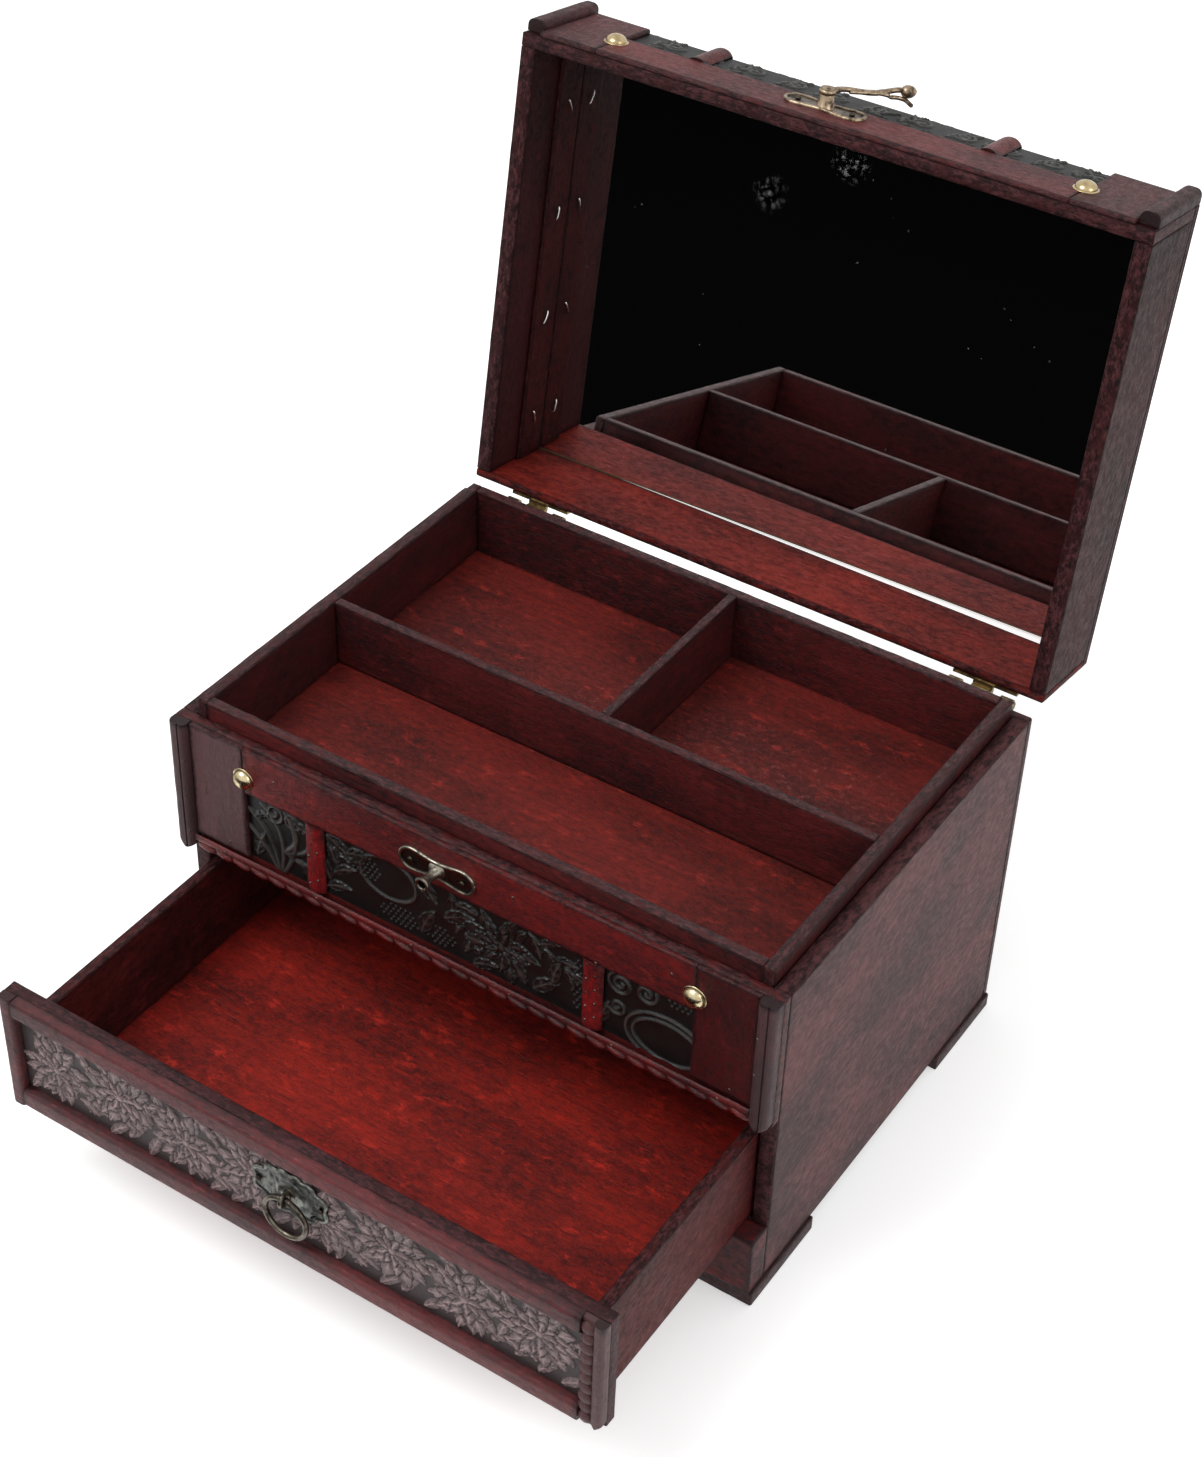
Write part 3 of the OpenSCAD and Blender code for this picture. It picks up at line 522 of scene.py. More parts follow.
ANTIQUE = Metal("antique_brass", srgb("#a39c8e"), srgb("#24211d"), 0.95, 0.28)
ANTIQUE_LID = Metal("antique_brass_lid", srgb("#a5917a"), srgb("#2a211a"), 0.95, 0.28, lid=True)
PEWTER = Metal("pull_brass", srgb("#8f918b"), srgb("#2c2e2f"), 0.85, 0.36)
RING_BRASS = Metal("ring_brass", srgb("#726a5f"), srgb("#231f1d"), 0.85, 0.28)
BRIGHT = Metal("bright_brass", srgb("#dccca4"), srgb("#6f5b3c"), 0.5, 0.2)
BRIGHT_LID = Metal("bright_brass_lid", srgb("#c4b088"), srgb("#6a5738"), 0.5, 0.2, lid=True)
HINGE = Metal("hinge_brass", srgb("#8d7c5c"), srgb("#54472f"), 0.7, 0.34)
HINGE_LID = Metal("hinge_brass_lid", srgb("#8d7c5c"), srgb("#54472f"), 0.7, 0.34, lid=True)
PIN = Metal("pin_dark", srgb("#50473c"), srgb("#1d1916"), 0.8, 0.38)
BRAD = Metal("brad_steel", srgb("#6c655c"), srgb("#241f1c"), 0.9, 0.38)
BRAD_LID = Metal("brad_steel_lid", srgb("#a8a196"), srgb("#3a322b"), 0.7, 0.3, lid=True)


# Meshes


def make_piece(name: str, verts: Points, faces: Sequence[Sequence[int]], material: bpy.types.Material,
               lid: bool = False, smooth: bool = True, **attributes: Points) -> bpy.types.Object:
    """Makes an object from points in millimetres.

    Args:
        name: Name of the piece.
        verts: One row of X, Y and Z for each point.
        faces: Point numbers of each face.
        material: The piece's finish.
        lid: True to turn the piece open with the lid.
        smooth: True for rounded shading.
        attributes: Values that change over the points, by name.

    Returns:
        The new object, at the origin.
    """
    mesh = bpy.data.meshes.new(name)
    mesh.from_pydata((np.asarray(verts, float) * MM).tolist(), [], [list(f) for f in faces])
    for label, values in attributes.items():
        mesh.attributes.new(label, "FLOAT", "POINT").data.foreach_set("value", np.asarray(values, np.float32))
    if lid:
        mesh.transform(LID.matrix)
    solid = bmesh.new()
    solid.from_mesh(mesh)
    bmesh.ops.recalc_face_normals(solid, faces=solid.faces)
    solid.to_mesh(mesh)
    solid.free()
    mesh.materials.append(material)
    mesh.shade_smooth() if smooth else mesh.shade_flat()
    if smooth:
        mesh.set_sharp_from_angle(angle=math.radians(58))
    piece = bpy.data.objects.new(name, mesh)
    bpy.context.scene.collection.objects.link(piece)
    return piece


def joined(name: str, parts: Sequence[bpy.types.Object]) -> bpy.types.Object:
    """Joins objects into one, keeping their materials and attributes, and names it."""
    with bpy.context.temp_override(active_object=parts[0], selected_editable_objects=list(parts), object=parts[0]):
        if len(parts) > 1:
            bpy.ops.object.join()
    parts[0].name = name
    parts[0].data.name = name
    return parts[0]


def settle(piece: bpy.types.Object, body: Body, slot: Slot, *nodes: str) -> bpy.types.Object:
    """Puts a finished piece on its body, hides the CAD nodes it stands for, and reports it with their names."""
    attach(piece, body.value)
    if nodes:
        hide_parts(*nodes)
    log.info("%s: %d faces, on %s, for %s", piece.name, len(piece.data.polygons), body.value, ", ".join(nodes) or "no node")
    return piece


def dress(node: str, finish: Wood | Leather | Metal | MirrorGlass | Plain) -> None:
    """Gives a CAD node that stays its finish."""
    target = frame["nodes"][node]
    target.data.materials.clear()
    target.data.materials.append(Palette.get(finish))
    log.info("%s: kept, in %s", node, finish.name)


def knots(length: float, radius: float, step: float) -> Points:
    """Spaces the grid lines of a board along one side: close at both ends, even between them."""
    if length < 8 * radius + 3:
        return np.array([0, radius, length / 2, length - radius, length])
    near = [0, radius, min(radius + 1.2, length / 4), min(radius + 3.2, length / 3)]
    count = max(1, round((length - 2 * near[-1]) / step))
    middle = np.linspace(near[-1], length - near[-1], count + 1)
    return np.concatenate([near[:-1], middle, [length - v for v in near[-2::-1]]])


@dataclass
class Board:
    """A flat board with rounded, slightly knocked edges that stays inside its box."""

    low: Sequence[float]
    high: Sequence[float]
    radius: float = 0.45
    step: float = 3.6
    knock: float = 0.34
    thin: float = 7.6

    def mesh(self) -> tuple[Points, list[tuple[int, ...]], Points, Points]:
        """Draws the board.

        Returns:
            Points, faces, and the edge and rim values of the points.
        """
        low, high = np.array(self.low, float), np.array(self.high, float)
        size = high - low
        radius = min(self.radius, size.min() * 0.3)
        lines = [knots(s, radius, self.step) for s in size]
        last = [len(v) - 1 for v in lines]
        numbers: dict[tuple[int, int, int], int] = {}
        spots: list[list[float]] = []
        faces: list[tuple[int, ...]] = []
        rims: dict[int, float] = {}

        def point(key: tuple[int, int, int], thin: bool) -> int:
            """Gives the number of a grid point, and marks it if it lies on a thin side."""
            if key not in numbers:
                numbers[key] = len(spots)
                spots.append([lines[a][key[a]] for a in range(3)])
            if thin:
                rims[numbers[key]] = 1.0
            return numbers[key]

        for axis in range(3):
            u, v = (axis + 1) % 3, (axis + 2) % 3
            thin = min(size[u], size[v]) < self.thin
            for end in (0, last[axis]):
                for i in range(last[u]):
                    for j in range(last[v]):
                        corners = []
                        for du, dv in ((0, 0), (1, 0), (1, 1), (0, 1)):
                            key = [0, 0, 0]
                            key[axis], key[u], key[v] = end, i + du, j + dv
                            corners.append(point(tuple(key), thin))
                        faces.append(tuple(corners if end else corners[::-1]))
        spot = np.array(spots)
        distance = np.sort(np.minimum(spot, size - spot), axis=1)
        edge = np.clip(1 - distance[:, 1] / 3.4, 0, 1)
        rim = np.array([rims.get(k, 0.0) for k in range(len(spot))])
        inner = np.clip(spot, radius, size - radius)
        offset = spot - inner
        away = np.linalg.norm(offset, axis=1, keepdims=True)
        rounded = np.where(away > radius * 1.01, inner + offset / np.maximum(away, 1e-9) * radius, spot)
        if self.knock > 0:
            centre = size / 2
            for k, (x, y, z) in enumerate(rounded + low):
                bump = noise.noise(Vector((x * 0.11, y * 0.11, z * 0.11))) * 0.5 + noise.noise(Vector((x, y, z)) * 0.37) * 0.5
                if distance[k, 1] < radius * 0.5:
                    depth = self.knock * max(0.0, 0.35 + 1.5 * bump)
                    pull = np.where(np.abs(offset[k]) > 1e-6, np.sign(centre - rounded[k]), 0.0)
                    rounded[k] += pull * min(depth, size.min() * 0.12)
        return rounded + low, faces, edge, rim


def merge_meshes(parts: Iterable[tuple[Points, list, Points, Points]]) -> tuple[Points, list, Points, Points]:
    """Puts several meshes of points, faces, edge and rim into one."""
    verts, faces, edges, rims, shift = [], [], [], [], 0
    for v, f, e, r in parts:
        verts.append(v)
        faces += [tuple(k + shift for k in face) for face in f]
        edges.append(e)
        rims.append(r)
        shift += len(v)
    return np.concatenate(verts), faces, np.concatenate(edges), np.concatenate(rims)


def boards(name: str, boxes: Iterable[tuple[Points, Points]], finish: Wood, **settings) -> bpy.types.Object:
    """Makes one piece of worn boards, one in each box."""
    v, f, e, r = merge_meshes(Board(low, high, **settings).mesh() for low, high in boxes)
    return make_piece(name, v, f, Palette.get(finish), lid=finish.lid, edge=e, rim=r)


def paint_side(piece: bpy.types.Object, out: Sequence[float], finish: Wood) -> None:
    """Gives another finish to the faces of a lid piece that look one way in the closed box.

    Args:
        piece: The piece, already turned open.
        out: The way they look in the closed box.
        finish: Their finish.
    """
    piece.data.materials.append(Palette.get(finish))
    turned = LID.matrix.to_3x3() @ Vector(out)
    for face in piece.data.polygons:
        if face.normal.dot(turned) > 0.9:
            face.material_index = 1


def bar_profile(width: float, depth: float, edge: float, arc: int = 5) -> Points:
    """Draws the outline of a moulding: flat back at depth 0, rounded front edges.

    Args:
        width: Width across the moulding.
        depth: How far it stands out.
        edge: Radius of the rounded edges.
        arc: Steps in each rounded edge.

    Returns:
        Points of the outline, across and out, anticlockwise from the back.
    """
    out = [(-width / 2, 0.0)]
    for side in (-1, 1):
        angles = np.linspace(math.pi, math.pi / 2, arc + 1) if side < 0 else np.linspace(math.pi / 2, 0, arc + 1)
        out += [(side * (width / 2 - edge) + edge * math.cos(a), depth - edge + edge * math.sin(a)) for a in angles]
    out.append((width / 2, 0.0))
    return np.array(out)


def grooved_profile(width: float, depth: float) -> Points:
    """Draws a rounded moulding with a fine groove to one side of its crown."""
    profile = bar_profile(width, depth, depth / 2, 7)
    crown = [(width * x, depth * y) for x, y in ((0.06, 1.0), (0.1, 0.86), (0.16, 0.86), (0.2, 1.0))]
    spots = sorted([*map(tuple, profile[1:-1]), *crown], key=lambda p: p[0])
    return np.array([tuple(profile[0]), *spots, tuple(profile[-1])])


def half_round_profile(width: float, depth: float, steps: int = 14) -> Points:
    """Draws a circular segment on a flat back, from one side to the other."""
    half = width / 2
    radius = (half * half + depth * depth) / (2 * depth)
    reach = math.asin(half / radius)
    angles = np.linspace(-reach, reach, steps + 1)
    return np.array([(radius * math.sin(a), radius * math.cos(a) - (radius - depth)) for a in angles])


def swept(profile: Points, stations: Points, across: Points, out: Points, knock: float = 0.12) -> tuple[Points, list, Points, Points]:
    """Runs an outline along a line of stations.

    Args:
        profile: Outline, across and out.
        stations: Place of the outline's origin at each step.
        across: Direction of the outline's first value at each step.
        out: Direction of its second value at each step.
        knock: Depth of small dents.

    Returns:
        Points, faces, and the edge and rim values of the points.
    """
    count, steps = len(profile), len(stations)
    verts = (stations[:, None, :] + profile[None, :, :1] * across[:, None, :] + profile[None, :, 1:] * out[:, None, :]).reshape(-1, 3)
    faces = []
    for s in range(steps - 1):
        for k in range(count):
            n = (k + 1) % count
            faces.append((s * count + k, s * count + n, (s + 1) * count + n, (s + 1) * count + k))
    faces += [tuple(range(count)), tuple(range((steps - 1) * count, steps * count))[::-1]]
    edge = np.zeros(len(verts))
    ends = np.linalg.norm(stations - stations[0], axis=1), np.linalg.norm(stations - stations[-1], axis=1)
    nearest = np.minimum(*ends).repeat(count)
    edge = np.maximum(edge, np.clip(1 - nearest / 3.0, 0, 1))
    # The flanks near the back of the outline are painted darker too, towards the board the moulding sits on.
    low = np.tile(np.clip(1 - profile[:, 1] / max(profile[:, 1].max(), 1e-6) * 1.6, 0, 1), steps)
    edge = np.maximum(edge, low * 0.9)
    centre = stations.repeat(count, axis=0) + out.repeat(count, axis=0) * profile[:, 1].mean()
    if knock > 0:
        for k, p in enumerate(verts):
            bump = noise.noise(Vector(p) * 0.23)
            pull = centre[k] - p
            verts[k] = p + pull / max(np.linalg.norm(pull), 1e-6) * knock * max(0.0, 0.4 + bump)
    return verts, faces, edge, np.zeros(len(verts))


def straight(profile: Points, start: Sequence[float], stop: Sequence[float], across: Sequence[float],
             out: Sequence[float], step: float = 5.0, knock: float = 0.12, tongue: float = 0.0) -> tuple[Points, list, Points, Points]:
    """Runs an outline straight from start to stop, with its ends eased, and its start rounded over tongue."""
    a, b = np.array(start, float), np.array(stop, float)
    length = np.linalg.norm(b - a)
    rounding = tongue * (1 - np.cos(np.linspace(0, math.pi / 2, 9)))
    marks = np.unique(np.concatenate([[0, min(0.5, length / 4)], rounding, np.linspace(0.5 + tongue, length - 0.5, max(2, int(length / step))), [length]]))
    places = a + (b - a) * (marks / length)[:, None]
    verts, faces, edge, rim = swept(profile, places, np.tile(across, (len(marks), 1)), np.tile(out, (len(marks), 1)), knock)
    count = len(profile)
    middle = profile.mean(0)
    for s, mark in enumerate(marks):
        share = math.sqrt(max(0.02, 1 - (1 - min(1.0, mark / tongue)) ** 2)) if tongue else 1.0
        if s in (0, len(marks) - 1):
            share *= 0.93
        elif share == 1.0:
            continue
        eased = middle + (profile - middle) * (share, max(share, 0.9))
        verts[s * count:(s + 1) * count] = places[s] + eased[:, :1] * np.array(across, float) + eased[:, 1:] * np.array(out, float)
    return verts, faces, edge, rim


def lathe(profile: Sequence[tuple[float, float]], centre: Sequence[float], out: Sequence[float], sides: int = 32,
          closed: bool = False) -> tuple[Points, list]:
    """Turns a profile of radius and height about an axis.

    Args:
        profile: Radius and height of each ring, from the foot up.
        centre: Foot of the axis.
        out: Direction of the axis.
        sides: Number of sides.
        closed: True if the profile is a loop, as for a ring.

    Returns:
        Points and faces.
    """
    axis = Vector(out).normalized()
    side = axis.orthogonal().normalized()
    other = axis.cross(side)
    verts, faces = [], []
    for radius, height in profile:
        for k in range(sides):
            a = 2 * math.pi * k / sides
            verts.append(Vector(centre) + axis * height + side * radius * math.cos(a) + other * radius * math.sin(a))
    rings = len(profile)
    for r in range(rings if closed else rings - 1):
        for k in range(sides):
            n, q = (k + 1) % sides, (r + 1) % rings
            faces.append((r * sides + k, r * sides + n, q * sides + n, q * sides + k))
    if not closed:
        faces += [tuple(range(sides))[::-1], tuple(range((rings - 1) * sides, rings * sides))]
    return np.array([v[:] for v in verts]), faces


def offset_loop(loop: Points, distance: float) -> Points:
    """Moves a flat anticlockwise loop inwards along its own normals."""
    tangent = np.roll(loop, -1, axis=0) - np.roll(loop, 1, axis=0)
    normal = np.stack([-tangent[:, 1], tangent[:, 0]], axis=1)
    return loop + normal / np.maximum(np.linalg.norm(normal, axis=1, keepdims=True), 1e-9) * distance


def rimmed_plate(loop: Points, rings: Sequence[tuple[float, float, float]], centre: Sequence[float]) -> tuple[Points, list, Points]:
    """Builds a cast plate that looks along -Y from rings of its outline.

    Args:
        loop: Anticlockwise outline, in X and Z.
        rings: Inset, height and hollow value of each ring, from the back edge inwards.
        centre: Place of the outline's origin on the plate's back.

    Returns:
        Points, faces and hollow values.
    """
    count = len(loop)
    verts, hollow = [], []
    for inset, height, depth in rings:
        ring = offset_loop(loop, inset)
        verts.append(np.stack([ring[:, 0] + centre[0], np.full(count, centre[1] - height), ring[:, 1] + centre[2]], axis=1))
        hollow += [depth] * count
    faces = [(r * count + k, r * count + (k + 1) % count, (r + 1) * count + (k + 1) % count, (r + 1) * count + k)
             for r in range(len(rings) - 1) for k in range(count)]
    faces += [tuple(range(count))[::-1], tuple(range((len(rings) - 1) * count, len(rings) * count))]
    return np.concatenate(verts), faces, np.array(hollow)


def ribbon(line: Points, half_width: Points, low: float, high: float, centre: Sequence[float], turn: float,
           wave: Points | None = None) -> tuple[Points, list]:
    """Builds a rounded bar along a flat curve that looks along -Y, as for the hook.

    Args:
        line: Curve in the plane, from the pivot, along and across.
        half_width: Half of the bar's width at each point.
        low: Underside, out from the plane of centre.
        high: Top side.
        centre: Place of the pivot.
        turn: Angle of the curve's own axis above X.
        wave: How far the bar rises at each point, or None.

    Returns:
        Points and faces.
    """
    tangent = np.gradient(line, axis=0)
    tangent /= np.linalg.norm(tangent, axis=1, keepdims=True)
    normal = np.stack([-tangent[:, 1], tangent[:, 0]], axis=1)
    section = [(math.cos(a), math.sin(a)) for a in np.linspace(0, 2 * math.pi, 12, endpoint=False)]
    section = [(math.copysign(abs(c) ** 0.75, c), math.copysign(abs(s) ** 0.75, s)) for c, s in section]
    cos, sin = math.cos(turn), math.sin(turn)
    verts = []
    for p, n, w, rise in zip(line, normal, half_width, np.zeros(len(line)) if wave is None else wave):
        for c, s in section:
            u, v = p + n * w * c
            verts.append((centre[0] + u * cos - v * sin, centre[1] - rise - (low + high) / 2 - s * (high - low) / 2, centre[2] + u * sin + v * cos))
    count, steps = len(section), len(line)
    faces = [(s * count + k, s * count + (k + 1) % count, (s + 1) * count + (k + 1) % count, (s + 1) * count + k)
             for s in range(steps - 1) for k in range(count)]
    faces += [tuple(range(count)), tuple(range((steps - 1) * count, steps * count))[::-1]]
    return np.array(verts), faces


def smooth_curve(points: Sequence[tuple[float, float]], count: int) -> Points:
    """Draws a smooth curve through points, with count steps."""
    p = np.array([points[0], *points, points[-1]], float)
    marks = np.linspace(0, len(points) - 1 - 1e-9, count)
    out = []
    for m in marks:
        i = int(m)
        t = m - i
        a, b, c, d = p[i], p[i + 1], p[i + 2], p[min(i + 3, len(p) - 1)]
        out.append(0.5 * (2 * b + (c - a) * t + (2 * a - 5 * b + 4 * c - d) * t * t + (3 * b - a - 3 * c + d) * t ** 3))
    return np.array(out)


# Geometry Nodes


class Grower:
    """Runs a Geometry Nodes tree and keeps its plain mesh."""

    def __init__(self, name: str, inputs: dict[str, str]) -> None:
        """Starts a tree with named inputs besides its geometry."""
        self.tree = bpy.data.node_groups.new(name, "GeometryNodeTree")
        self.tree.interface.new_socket(name="Geometry", in_out="OUTPUT", socket_type="NodeSocketGeometry")
        self.tree.interface.new_socket(name="Geometry", in_out="INPUT", socket_type="NodeSocketGeometry")
        for label, kind in {**inputs, "Material": "Material"}.items():
            self.tree.interface.new_socket(name=label, in_out="INPUT", socket_type="NodeSocket" + kind)
        self.graph = Graph(self.tree, "GeometryNode")
        self.given = self.graph.add("NodeGroupInput")
        self.result = self.graph.add("NodeGroupOutput")

    def end(self, geometry: bpy.types.NodeSocket) -> "Grower":
        """Ends the tree: instances made real, shaded smooth, given their material."""
        g = self.graph
        real = g.add("RealizeInstances", {0: geometry}).outputs[0]
        shaded = g.add("SetShadeSmooth", {0: real}).outputs[0]
        dressed = g.add("SetMaterial", {0: shaded, "Material": self.given.outputs["Material"]}).outputs[0]
        g.feed(self.result.inputs[0], dressed)
        return self

    def grow(self, name: str, points: Points, material: bpy.types.Material, lid: bool = False, **values) -> bpy.types.Object:
        """Grows one piece.

        Args:
            name: Name of the piece.
            points: Points that the tree works from, in millimetres.
            material: The piece's finish.
            lid: True to turn the piece open with the lid.
            values: Values of the tree's named inputs, with _ for a space.

        Returns:
            The piece as a plain mesh at the origin.
        """
        seed = bpy.data.meshes.new(name + "_points")
        seed.from_pydata((np.asarray(points, float) * MM).tolist(), [], [])
        holder = bpy.data.objects.new(name + "_points", seed)
        bpy.context.scene.collection.objects.link(holder)
        modifier = holder.modifiers.new("Grow", "NODES")
        modifier.node_group = self.tree
        wanted = {key.replace("_", " "): value for key, value in values.items()}
        for item in self.tree.interface.items_tree:
            if item.in_out == "INPUT" and item.name == "Material":
                modifier[item.identifier] = material
            elif item.in_out == "INPUT" and item.name in wanted:
                modifier[item.identifier] = wanted[item.name]
        held = holder.evaluated_get(bpy.context.evaluated_depsgraph_get())
        mesh = bpy.data.meshes.new_from_object(held)
        holder.modifiers.remove(modifier)
        bpy.data.objects.remove(holder)
        mesh.name = name
        if lid:
            mesh.transform(LID.matrix)
        if not mesh.materials:
            mesh.materials.append(material)
        piece = bpy.data.objects.new(name, mesh)
        bpy.context.scene.collection.objects.link(piece)
        return piece


def stud_tree() -> Grower:
    """Builds the tree that puts a dome with a low flange on each point, looking along Out."""
    grower = Grower("StudsOnPoints", {"Radius": "Float", "Rise": "Float", "Flange": "Float", "Sides": "Int", "Turn": "Rotation"})
    g, given = grower.graph, grower.given.outputs
    ball = g.add("MeshUVSphere", {"Segments": given["Sides"], "Rings": 14, "Radius": 1.0}).outputs[0]
    dome = g.add("Transform", {"Geometry": ball, "Scale": g.add("ShaderNodeCombineXYZ", {0: given["Radius"], 1: given["Radius"], 2: given["Rise"]}).outputs[0]}).outputs[0]
    wide = g.math("MULTIPLY", given["Radius"], given["Flange"])
    low = g.math("MULTIPLY", given["Rise"], 0.22)
    rim = g.add("Transform", {"Geometry": ball, "Scale": g.add("ShaderNodeCombineXYZ", {0: wide, 1: wide, 2: low}).outputs[0]}).outputs[0]
    both = g.add("JoinGeometry")
    g.tree.links.new(dome, both.inputs[0])
    g.tree.links.new(rim, both.inputs[0])
    placed = g.add("InstanceOnPoints", {"Points": given["Geometry"], "Instance": both.outputs[0], "Rotation": given["Turn"]}).outputs[0]
    return grower.end(placed)


def lobe_tree() -> Grower:
    """Builds the tree that lays a row of tilted carved lobes from Start in steps."""
    grower = Grower("CarvedLobes", {"Count": "Int", "Step": "Vector", "Size": "Vector", "Turn": "Rotation", "Seed": "Int"})
    g, given = grower.graph, grower.given.outputs
    start = g.add("InputPosition").outputs[0]
    first = g.add("SampleIndex", {"Geometry": given["Geometry"], "Value": start, "Index": 0}, data_type="FLOAT_VECTOR").outputs[0]
    line = g.add("MeshLine", {"Count": given["Count"], "Start Location": first, "Offset": given["Step"]}, mode="OFFSET").outputs[0]
    ball = g.add("MeshUVSphere", {"Segments": 12, "Rings": 8, "Radius": 1.0}).outputs[0]
    lobe = g.add("Transform", {"Geometry": ball, "Scale": given["Size"]}).outputs[0]
    vary = g.add("FunctionNodeRandomValue", {"Seed": given["Seed"]}, data_type="FLOAT_VECTOR")
    vary.inputs[0].default_value = (0.9, 0.9, 0.9)
    vary.inputs[1].default_value = (1.06, 1.04, 1.06)
    placed = g.add("InstanceOnPoints", {"Points": line, "Instance": lobe, "Rotation": given["Turn"], "Scale": vary.outputs[0]}).outputs[0]
    return grower.end(placed)


def staple_tree() -> Grower:
    """Builds the tree that puts a bowed staple on each point."""
    grower = Grower("Staples", {"Length": "Float", "Wire": "Float", "Bow": "Float", "Seed": "Int"})
    g, given = grower.graph, grower.given.outputs
    half = g.math("MULTIPLY", given["Length"], 0.5)
    less = g.math("MULTIPLY", half, -1.0)
    ends = [g.add("ShaderNodeCombineXYZ", {1: y}).outputs[0] for y in (less, half)]
    bows = [g.add("ShaderNodeCombineXYZ", {0: given["Bow"], 1: g.math("MULTIPLY", y, 0.9)}).outputs[0] for y in (less, half)]
    curve = g.add("CurvePrimitiveBezierSegment", {"Resolution": 10, "Start": ends[0], "Start Handle": bows[0], "End Handle": bows[1], "End": ends[1]}).outputs[0]
    circle = g.add("CurvePrimitiveCircle", {"Resolution": 8, "Radius": given["Wire"]}, mode="RADIUS").outputs[0]
    wire = g.add("CurveToMesh", {"Curve": curve, "Profile Curve": circle, "Fill Caps": True}).outputs[0]
    lean = g.add("FunctionNodeRandomValue", {"Seed": given["Seed"]}, data_type="FLOAT_VECTOR")
    lean.inputs[0].default_value = (-0.5, -0.06, -0.06)
    lean.inputs[1].default_value = (0.5, 0.06, 0.06)
    placed = g.add("InstanceOnPoints", {"Points": given["Geometry"], "Instance": wire, "Rotation": lean.outputs[0]}).outputs[0]
    return grower.end(placed)


def screw_tree() -> Grower:
    """Builds the tree that puts a slotted screw head on each point."""
    grower = Grower("SlottedScrews", {"Radius": "Float", "Rise": "Float", "Turn": "Rotation", "Seed": "Int"})
    g, given = grower.graph, grower.given.outputs
    ball = g.add("MeshUVSphere", {"Segments": 24, "Rings": 12, "Radius": 1.0}).outputs[0]
    cut = g.add("MeshCube", {"Size": (3.0, 0.24, 1.0)}).outputs[0]
    lifted = g.add("Transform", {"Geometry": cut, "Translation": (0.0, 0.0, 1.0)}).outputs[0]
    slotted = g.add("MeshBoolean", {0: ball}, operation="DIFFERENCE", solver="EXACT")
    g.tree.links.new(lifted, slotted.inputs[1])
    size = g.add("ShaderNodeCombineXYZ", {0: given["Radius"], 1: given["Radius"], 2: given["Rise"]}).outputs[0]
    head = g.add("Transform", {"Geometry": slotted.outputs[0], "Scale": size}).outputs[0]
    spin = g.add("FunctionNodeRandomValue", {"Seed": given["Seed"]}, data_type="FLOAT_VECTOR")
    spin.inputs[0].default_value = (0.0, 0.0, 0.0)
    spin.inputs[1].default_value = (0.0, 0.0, 3.1)
    turned = g.add("InstanceOnPoints", {"Points": given["Geometry"], "Instance": head, "Rotation": given["Turn"]}).outputs[0]
    spun = g.add("RotateInstances", {"Instances": turned, "Rotation": spin.outputs[0]}).outputs[0]
    return grower.end(spun)


# Embossed leather


